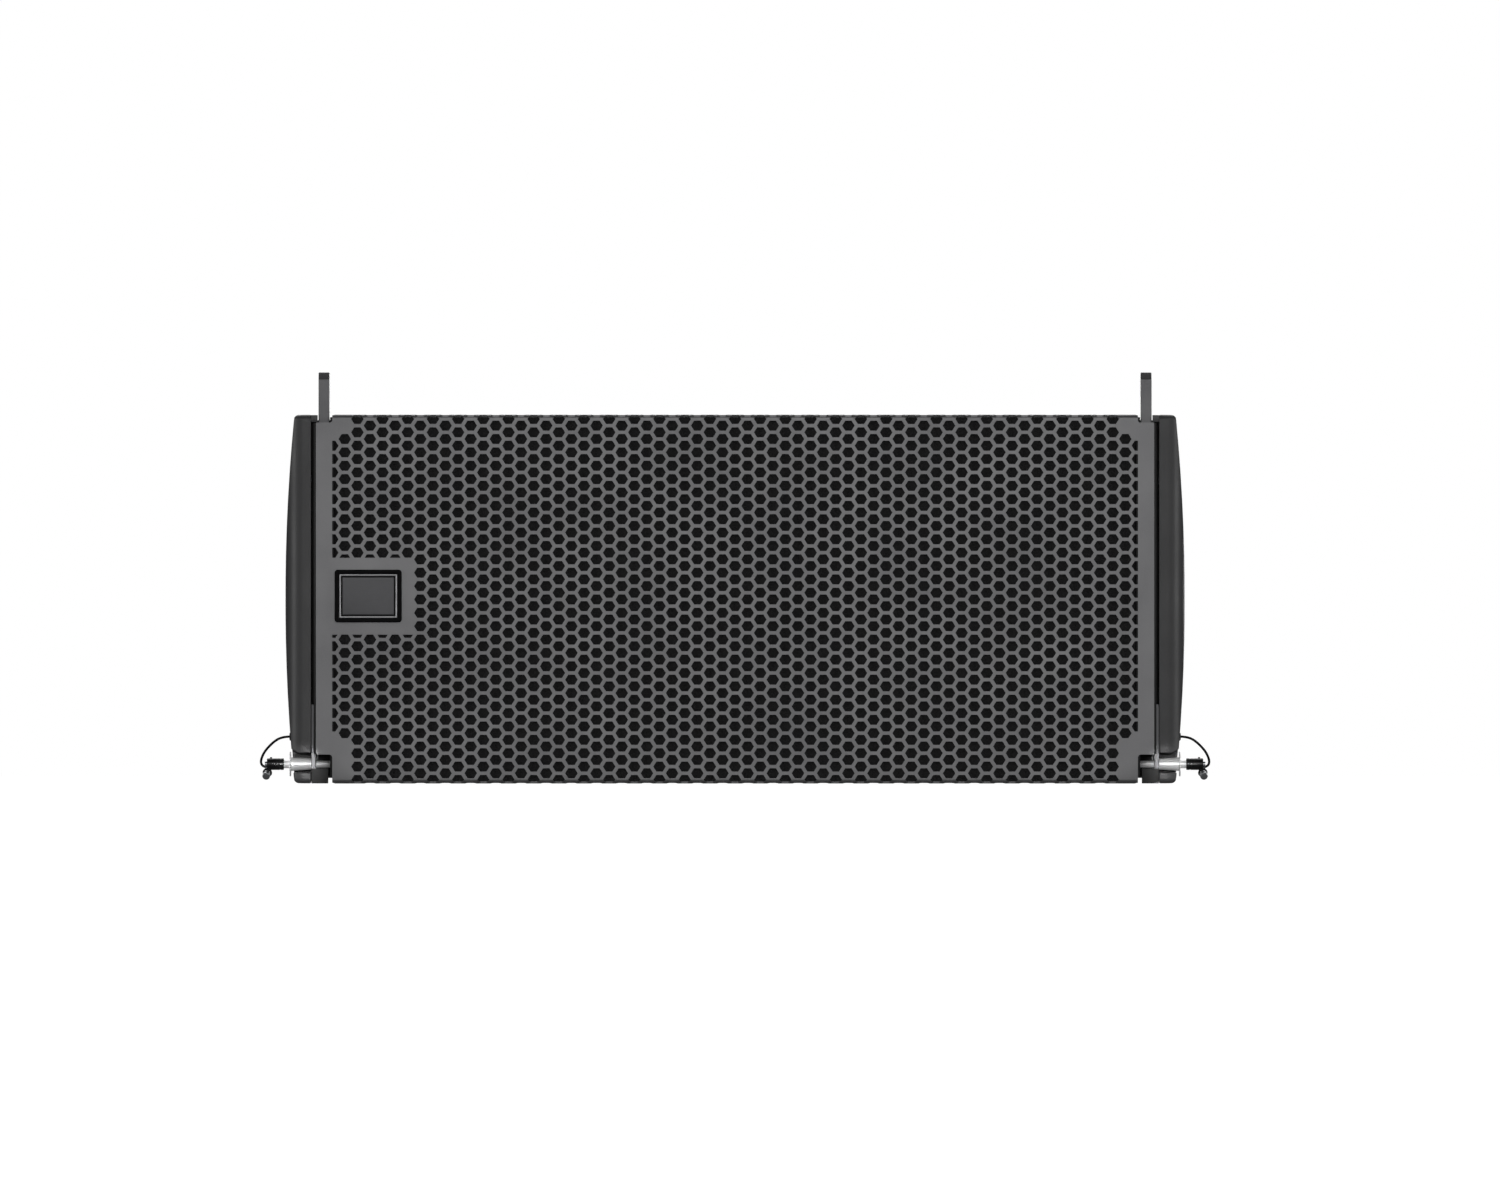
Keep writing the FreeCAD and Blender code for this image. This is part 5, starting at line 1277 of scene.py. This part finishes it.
def rear_pin() -> QuickPin:
    """Sets up the rear pin, with its lanyard's route.

    Returns:
        The pin, not built yet.
    """
    route = [(43.0, 133.2, 89.965), (43.0, 139.0, 89.565), (43.6, 146.5, 84.965), (44.4, 150.5, 75.965),
             (42.6, 147.0, 66.565), (39.1, 150.0, 58.265)]
    return QuickPin("rear", 7.7, 158.0, 59.965, route)


@dataclass
class Grommets:
    """Rubber grommets where the lanyards leave the end caps and the rear panel."""

    radius: float = 3.0
    bore: float = 0.95
    skin: float = 324.7
    wall: float = 3.5

    def build(self) -> None:
        """Makes the three grommets as one piece."""
        bm = bmesh.new()
        for start, axis, deep in (((self.skin, -138.0, 34.4), (1, 0, 0), self.wall),
                                  ((-self.skin, -138.0, 34.4), (-1, 0, 0), self.wall),
                                  ((43.0, Y_PANEL, 89.965), (0, 1, 0), 0.0)):
            profile = [(-deep, self.bore), (1.0, self.bore), (1.2, 1.3), (1.2, 2.2), (0.8, self.radius - 0.1),
                       (0.0, self.radius), (-deep, self.radius - (0.05 if deep else 0))]
            lathe(bm, profile, start, axis, 28, ring=True)
        settle(from_bmesh("rubber_grommets", bm), "grommet_rubber", nodes=("lanyard_grommets",))


# ---------------------------------------------------------------- fasteners
@dataclass
class Screws:
    """A set of equal screw heads, set in place by a geometry tree.

    Attributes:
        name: Name of the piece.
        slot: The record's material slot.
        head: Radius and height of a head in millimetres.
        shank: Radius and length of the shank behind it.
        places: Where each head stands, and the way it points.
        seed: Seed of the turn that each screw was left at.
    """

    name: str
    slot: str
    head: Flat
    shank: Flat
    places: list[tuple[Point, Point]]
    seed: int = 3

    def pattern_screw(self) -> bpy.types.Object:
        """Makes one screw along +Z with a rounded head and a hexagon socket.

        Returns:
            The screw, which is removed once the set is made.
        """
        radius, height = self.head
        deep, key = height * 0.62, radius * 0.46
        bm = bmesh.new()
        crown = [(height * math.cos(a), radius * math.sin(a)) for a in
                 (math.radians(d) for d in (30, 45, 60, 75, 88))]
        profile = [(p, r) for p, r in crown] + [(0, radius), (0, self.shank[0]),
                                                (-self.shank[1], self.shank[0]),
                                               (-self.shank[1], 0)]
        around = 24
        lathe(bm, profile, (0, 0, 0), (0, 0, 1), around)
        bmesh.ops.remove_doubles(bm, verts=bm.verts, dist=1e-4)
        level, side = profile[0][0], Vector((0, 0, 1)).orthogonal().normalized()
        other = Vector((0, 0, 1)).cross(side)
        rim = [v for v in bm.verts if abs(v.co.z - level) < 1e-3 and v.co.xy.length > 0.1]
        rim.sort(key=lambda v: math.atan2(v.co.dot(other), v.co.dot(side)) % (2 * math.pi))
        rows = []
        for z in (level, level - deep):
            row = []
            for k in range(around):
                a = 2 * math.pi * k / around
                flat = math.cos(math.radians(30)) / math.cos((a % math.radians(60)) - math.radians(30))
                row.append(bm.verts.new((side * math.cos(a) + other * math.sin(a)) * key * flat
                                        + Vector((0, 0, z))))
            rows.append(row)
        for low, high in ((rim, rows[0]), (rows[0], rows[1])):
            for k in range(around):
                j = (k + 1) % around
                bm.faces.new((low[k], low[j], high[j], high[k]))
        bm.faces.new(rows[1])
        return from_bmesh(self.name + "_pattern", bm, 35.0)

    def tree(self) -> bpy.types.NodeTree:
        """Builds the tree that stands a screw on every point, along its stored direction.

        Returns:
            The geometry tree.
        """
        tree, given = new_tree("Screw_field", {"Screw": "Object", "Seed": "Int", "Material": "Material"})
        way = add_node(tree, "GeometryNodeInputNamedAttribute", {"Name": "way"}, data_type="FLOAT_VECTOR")
        turn = add_node(tree, "FunctionNodeAlignRotationToVector", {"Vector": way}, axis="Z")
        spin = add_node(tree, "FunctionNodeRandomValue", {"Min": (0, 0, 0), "Max": (0, 0, 1.05),
                                                          "Seed": given["Seed"]}, data_type="FLOAT_VECTOR")
        shape = add_node(tree, "GeometryNodeObjectInfo", {"Object": given["Screw"]}, "Geometry")
        field = add_node(tree, "GeometryNodeInstanceOnPoints",
                         {"Points": given["Geometry"], "Instance": shape, "Rotation": turn})
        field = add_node(tree, "GeometryNodeRotateInstances", {"Instances": field, "Rotation": spin})
        field = add_node(tree, "GeometryNodeRealizeInstances", {"Geometry": field})
        field = add_node(tree, "GeometryNodeSetMaterial", {"Geometry": field, "Material": given["Material"]})
        add_node(tree, "NodeGroupOutput", {"Geometry": field})
        return tree

    def build(self, nodes: tuple[str, ...] = ()) -> None:
        """Makes the set as one piece.

        Args:
            nodes: CAD nodes that it replaces.
        """
        screw = self.pattern_screw()
        mesh = bpy.data.meshes.new(self.name)
        mesh.from_pydata([tuple(c * MM for c in place) for place, _ in self.places], [], [])
        ways = mesh.attributes.new("way", "FLOAT_VECTOR", "POINT")
        ways.data.foreach_set("vector", [c for _, way in self.places for c in way])
        made = stand(self.name, mesh)
        grow(made, self.tree(), {"Screw": screw, "Seed": self.seed, "Material": material_of(self.slot)})
        bpy.data.objects.remove(screw)
        shade(made.data, 35.0)
        settle(made, self.slot, nodes=nodes)


@dataclass
class Fasteners:
    """Every visible set of screws and bolts.

    Attributes:
        wells: Depth and height of each screw well in an end cap's side.
        sunk: How far a well's screw lies in from the cap's skin.
        cap_middle: Height at which an end cap reaches out furthest.
        cap_rise: How much further out it reaches there than at its ends.
        cap_out: How far out it reaches there.
        plate_x: Where the connector plate's screws stand across.
        plate_z: How high they stand.
        plate_proud: How far the plate stands out from the rear panel.
        spine_x: How far the spine's bolts stand from the centre plane.
        spine_z: How high they stand.
        spine_proud: How far the spine's foot stands out from the rear panel.
    """

    wells: tuple[Flat, ...] = ((-95.0, 62.0), (-95.0, 208.0), (112.0, 74.0), (112.0, 196.0))
    sunk: float = 6.0
    cap_middle: float = 135.0
    cap_rise: float = 6.8
    cap_out: float = 328.5
    plate_x: Flat = (67.0, 183.0)
    plate_z: Flat = (103.0, 167.0)
    plate_proud: float = 2.0
    spine_x: float = 19.0
    spine_z: tuple[float, float, float] = (33.965 + 14.0, 135.0, 236.035 - 14.0)
    spine_proud: float = 3.2

    def cap_reach(self, z: float) -> float:
        """How far out an end cap reaches at height z."""
        radius = (self.cap_middle ** 2 + self.cap_rise ** 2) / (2 * self.cap_rise)
        return self.cap_out - radius + math.sqrt(radius ** 2 - (z - self.cap_middle) ** 2)

    def build(self) -> None:
        """Makes the end caps', the connector plate's and the spine's screws."""
        rearwards = (0.0, 1.0, 0.0)
        caps = [((sign * (self.cap_reach(z) - self.sunk), y, z), (sign, 0.0, 0.0))
                for sign in (-1, 1) for y, z in self.wells]
        Screws("cap_screws", "black_fastener", (5.0, 3.0), (2.5, 30.0), caps).build()
        plate = [((x, Y_PANEL + self.plate_proud, z), rearwards) for x in self.plate_x for z in self.plate_z]
        Screws("plate_screws", "black_fastener", (3.0, 1.6), (1.6, 9.0), plate, 5).build(("panel_screws",))
        spine = [((sign * self.spine_x, Y_PANEL + self.spine_proud, z), rearwards)
                 for sign in (-1, 1) for z in self.spine_z]
        Screws("spine_bolts", "zinc_fastener", (5.0, 2.6), (3.0, 12.0), spine, 9).build(("rigging_bolts",))


# ---------------------------------------------------------------- rear connectors
@dataclass
class Sockets:
    """The two round speaker sockets of the connector plate."""

    centres: tuple[float, float] = (95.0, 155.0)
    height: float = 135.0
    rivet_ring: float = 14.4
    lug_ring: float = 10.9

    def build(self) -> None:
        """Makes both sockets with their rivets, lugs and posts."""
        bm = bmesh.new()
        rivet = eased([(5.9, 0), (5.9, 1.5), (6.0, 1.5), (6.0, 0)], 0.02, 1)
        lug = [(-12.0, 0), (-12.0, 1.2), (1.0, 1.2), (1.4, 0.8), (1.4, 0)]
        studs = ((rivet, self.rivet_ring, (45, 135, 225, 315), 12), (lug, self.lug_ring, (90, 270), 16))
        for x in self.centres:
            start = (x, Y_PANEL, self.height)
            body = [(-16.0, 0), (-16.0, 13.0), (2.1, 13.0), (2.1, 16.6), (2.5, 17.0), (5.3, 17.0),
                    (6.0, 16.2),
                    (6.0, 12.3), (5.4, 11.5), (-13.6, 11.5), (-14.0, 11.0), (-14.0, 4.0), (2.4, 4.0),
                    (3.0, 3.4),
                    (3.0, 1.8), (1.6, 1.5), (1.6, 0)]
            lathe(bm, eased(body, 0.25, 2), start, (0, 1, 0), 56)
            for profile, ring, angles, around in studs:
                for a in map(math.radians, angles):
                    foot = (x + ring * math.cos(a), Y_PANEL, self.height + ring * math.sin(a))
                    lathe(bm, profile, foot, (0, 1, 0), around)
        settle(from_bmesh("round_sockets", bm), "socket_plastic", nodes=("speaker_sockets",))


# ---------------------------------------------------------------- pieces that follow the CAD form
@dataclass
class Channel:
    """One side's rigging channel, black inside as painted shade, with the grey edge of its outer plate, and its trims.
    """

    sign: int
    split: float = 305.0
    step: float = 58.0
    plate: Flat = (306.2, 309.4)
    # The last two size black rubber sheets of painted shade: the pad over the tab below the pin, and the strip along
    # the outer plate's inner edge.
    foot: Flat = (297.0, 11.3)
    shade_strip: tuple[float, float] = (1.5, 1.3)

    @property
    def side(self) -> str:
        """left or right."""
        return "left" if self.sign < 0 else "right"

    def share(self, name: str, cuts: tuple[tuple[Point, Point], ...]) -> bpy.types.Object:
        """Cuts the channel and keeps one share of it as a closed shell.

        Args:
            name: Name of the piece.
            cuts: A point of each cut, and the direction in which material is taken off.

        Returns:
            The share, as a plain mesh.
        """
        made = softened(f"rig_channel_{self.side}", 0.3, name=name)
        bm = bmesh.new()
        bm.from_mesh(made.data)
        for place, away in cuts:
            cut = bmesh.ops.bisect_plane(bm, geom=bm.faces[:] + bm.edges[:] + bm.verts[:], dist=1e-6,
                                         plane_co=[c * MM for c in place], plane_no=away, clear_outer=True)
            bmesh.ops.holes_fill(bm, edges=[e for e in cut["geom_cut"] if isinstance(e, bmesh.types.BMEdge)])
        bmesh.ops.recalc_face_normals(bm, faces=bm.faces)
        bm.to_mesh(made.data)
        bm.free()
        shade(made.data, SHARP_ABOVE)
        return evened(made)

    def bar(self, name: str, x: Flat, y: Flat, z: Flat, easing: float, slot: str, dress: str = "") -> None:
        """Makes a soft-edged bar along Z.

        Args:
            name: Name of the piece.
            x: How far out its inner and outer sides lie.
            y: Depth of its front and back.
            z: Height of its ends.
            easing: Radius of its edges.
            slot: The record's material slot.
            dress: Key of another finish, when it differs from the slot's own.
        """
        outline = eased([(x[0], y[0]), (x[1], y[0]), (x[1], y[1]), (x[0], y[1])], easing, 3, True)
        bm = bmesh.new()
        ends = ((z[0], easing), (z[0] + easing * 0.6, 0.0), (z[1] - easing * 0.6, 0.0), (z[1], easing))
        middle = Vector(((x[0] + x[1]) / 2, (y[0] + y[1]) / 2))
        loops = []
        for level, inset in ends:
            shrink = 1 - inset / max(x[1] - x[0], y[1] - y[0])
            loops.append([Vector((self.sign * (middle.x + (px - middle.x) * shrink),
                                  middle.y + (py - middle.y) * shrink, level)) for px, py in outline])
        skin(bm, loops)
        settle(from_bmesh(name, bm), slot, dress=dress)

    def build(self) -> None:
        """Makes the channel's three shares, two of them in painted shade, the foot pad, the other trims and the cap's
        lip.
        """
        out, edge = (self.sign, 0, 0), (self.sign * self.split, 0, 0)
        back = (-self.sign, 0, 0)
        # The inside and the lower wing are dressed near-black as painted shade; only the outer plate above the step
        # keeps the grey coat.
        shares = ((f"channel_inside_{self.side}", ((edge, out),), "channel_paint"),
                  (f"channel_plate_{self.side}", ((edge, back), ((0, 0, self.step), (0, 0, 1))), ""),
                  (f"channel_wing_{self.side}", ((edge, back), ((0, 0, self.step), (0, 0, -1))),
                   "channel_paint"))
        for name, cuts, dress in shares:
            settle(self.share(name, cuts), "rigging_steel", nodes=(f"rig_channel_{self.side}",), dress=dress)
        # Black rubber sheet over the tab below the pin: painted shade where the recess under the pin lies dark.
        self.bar(f"foot_pad_{self.side}", (self.foot[0], self.plate[1]), (-168.7, -168.0),
                 (0.8, self.foot[1]),
                 0.3, "grommet_rubber")
        # Black rubber strip in front of the plate's inner edge: painted shade where the gap beside the grille lies
        # dark.
        self.bar(f"edge_gasket_{self.side}", (306.05, 306.05 + self.shade_strip[0]), (-169.6, -168.3),
                 (22.0, 263.5), 0.4, "grommet_rubber")
        # Black rubber sheet on the end wall of the pin pocket: painted shade, so that the pocket reads black.
        self.bar(f"pocket_liner_{self.side}", (309.9, 322.2), (-134.7, -134.1), (8.6, 22.3), 0.2,
                 "grommet_rubber")
        self.bar(f"cap_lip_{self.side}", (304.7, 309.7), (-169.4, -167.4), (264.4, 269.3), 0.5, "cap_plastic")


class CadPieces:
    """The CAD nodes, and eased copies that replace the ones with open edges."""

    # How wide each copy's edges are eased, in millimetres.
    WIDTHS: ClassVar[dict[str, float]] = {
        "end_cap_left": 0.8, "end_cap_right": 0.8, "front_link_left": 0.6, "front_link_right": 0.6,
        "rear_spine": 0.5, "rear_link": 0.6, "connector_plate": 0.4, "top_panel": 0.8, "bottom_panel": 0.8,
        "rear_panel": 0.8, "side_wall_left": 0.8, "side_wall_right": 0.8}

    @staticmethod
    def slot_of(node: str) -> str:
        """The record's material slot of a CAD node."""
        return next(part["material_slot"] for part in frame["record"]["subparts"] if part["node"] == node)

    def build(self) -> None:
        """Dresses every CAD node and makes the eased copies."""
        for node, made in frame["nodes"].items():
            made.data.materials.clear()
            made.data.materials.append(material_of(self.slot_of(node)))
        for node, width in self.WIDTHS.items():
            settle(softened(node, width), self.slot_of(node), frame["nodes"][node]["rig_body"], (node,))


# ---------------------------------------------------------------- studio
@dataclass
class Studio:
    """Camera, lights, pale floor and white surroundings."""

    eye: Point = (0.0109, -18.42, 0.1343)
    lens: float = 600.0
    sensor: float = 36.0
    aim: Point = (0, 0, 0.135)
    floor_level: float = -0.42
    floor_half: float = 60
    dim: float = 0.08

    def camera(self) -> None:
        """Makes the camera, level, square to the grille and far off."""
        data = bpy.data.cameras.new("camera")
        data.lens, data.sensor_width = self.lens, self.sensor
        made = stand("camera", data)
        made.location, made.rotation_euler = self.eye, (math.radians(90), 0, 0)
        bpy.context.scene.camera = made

    @staticmethod
    def hang(name: str, data: bpy.types.Light, place: Point, target: Point) -> None:
        """Puts a light at its place, facing a point.

        Args:
            name: Name of the light.
            data: What it shines with.
            place: Its place in metres.
            target: The point that it faces.
        """
        made = stand(name, data)
        made.location = place
        made.rotation_euler = (Vector(target) - Vector(place)).to_track_quat("-Z", "Y").to_euler()

    def light(self, name: str, place: Point, brightness: float, size: Flat) -> None:
        """Makes a soft box that points at the cabinet's middle.

        Args:
            name: Name of the light.
            place: Its centre in metres.
            brightness: How bright its face looks.
            size: Width and height in metres.
        """
        data = bpy.data.lights.new(name, "AREA")
        data.shape, data.size, data.size_y = "RECTANGLE", size[0], size[1]
        data.energy = brightness * math.pi * size[0] * size[1]
        self.hang(name, data, place, self.aim)

    def spot(self, name: str, place: Point, target: Point, power: float, angle: float) -> None:
        """Makes a narrow spotlight that picks out one bright fitting.

        Args:
            name: Name of the light.
            place: Its place in metres.
            target: The point that it is aimed at.
            power: Power in watts.
            angle: Opening angle in degrees.
        """
        data = bpy.data.lights.new(name, "SPOT")
        data.energy, data.shadow_soft_size = power, 0.004
        data.spot_size, data.spot_blend = math.radians(angle), 0.5
        self.hang(name, data, place, target)

    def surroundings(self) -> None:
        """Makes the white surroundings: bright to look at, softer as a light."""
        world = bpy.data.worlds.new("surroundings")
        bpy.context.scene.world = world
        world.use_nodes = True
        tree = world.node_tree
        tree.nodes.clear()
        seen = add_node(tree, "ShaderNodeLightPath", output="Is Camera Ray")
        soft = add_node(tree, "ShaderNodeBackground", {"Color": (1, 1, 1, 1), "Strength": self.dim})
        bright = add_node(tree, "ShaderNodeBackground", {"Color": (1, 1, 1, 1), "Strength": 1.0})
        both = add_node(tree, "ShaderNodeMixShader", {0: seen, 1: soft, 2: bright})
        add_node(tree, "ShaderNodeOutputWorld", {"Surface": both})

    def floor(self) -> None:
        """Makes the pale floor, well below the cabinet."""
        mesh = bpy.data.meshes.new("floor")
        corners = ((-1, -1), (1, -1), (1, 1), (-1, 1))
        mesh.from_pydata([(x * self.floor_half, y * self.floor_half, self.floor_level) for x, y in corners],
                         [],
                         [(0, 1, 2, 3)])
        made = stand("floor", mesh)
        material = bpy.data.materials.new("White_paper_floor")
        material.use_nodes = True
        tree = material.node_tree
        tree.nodes.clear()
        paper = {"Base Color": linear("#6a6a6a"), "Roughness": 0.95}
        matt = add_node(tree, "ShaderNodeBsdfPrincipled", paper)
        lit = add_node(tree, "ShaderNodeBsdfPrincipled",
                       {**paper, "Emission Color": (1, 1, 1, 1), "Emission Strength": 1.0})
        seen = add_node(tree, "ShaderNodeLightPath", output="Is Camera Ray")
        both = add_node(tree, "ShaderNodeMixShader", {0: seen, 1: matt, 2: lit})
        add_node(tree, "ShaderNodeOutputMaterial", {"Surface": both})
        made.data.materials.append(material)
        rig.stage(made)

    def build(self) -> None:
        """Makes the whole studio."""
        bpy.context.scene.view_settings.view_transform = "Standard"
        self.camera()
        self.surroundings()
        self.floor()
        self.light("front", place=(0.4, -5.2, 0.9), brightness=1.6, size=(5.0, 2.8))
        self.light("left", place=(-4.2, -1.9, 0.9), brightness=5.6, size=(1.4, 2.2))
        self.light("right", place=(4.4, -1.7, 0.8), brightness=5.6, size=(1.4, 2.2))
        for sign, side in ((-1, "left"), (1, "right")):
            self.spot(f"pin_spot_{side}", place=(sign * 0.324, -1.6, 0.1),
                      target=(sign * 0.319, -0.15, 0.009),
                      power=34.0, angle=1.6)
        self.light("top", place=(0.0, 2.6, 3.4), brightness=3.0, size=(4.0, 2.5))
        self.light("rear", place=(0.6, 5.2, 1.4), brightness=3.2, size=(5.0, 2.8))


def main() -> None:
    """Builds the whole model in order."""
    logging.basicConfig(level=logging.INFO, format="%(name)s: %(message)s")
    frame_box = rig.bounds()
    Studio().build()
    for pin in (front_pin("right"), front_pin("left"), rear_pin()):
        pin.build()
    Grommets().build()
    CadPieces().build()
    for sign in (-1, 1):
        Channel(sign).build()
    Grille().build()
    Badge().build()
    Fasteners().build()
    Sockets().build()
    with open("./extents.json", "w") as report:
        json.dump({"cad": [list(corner) for corner in frame_box],
                   "visual": [list(corner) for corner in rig.bounds()]}, report)


if __name__ == "__main__":
    main()
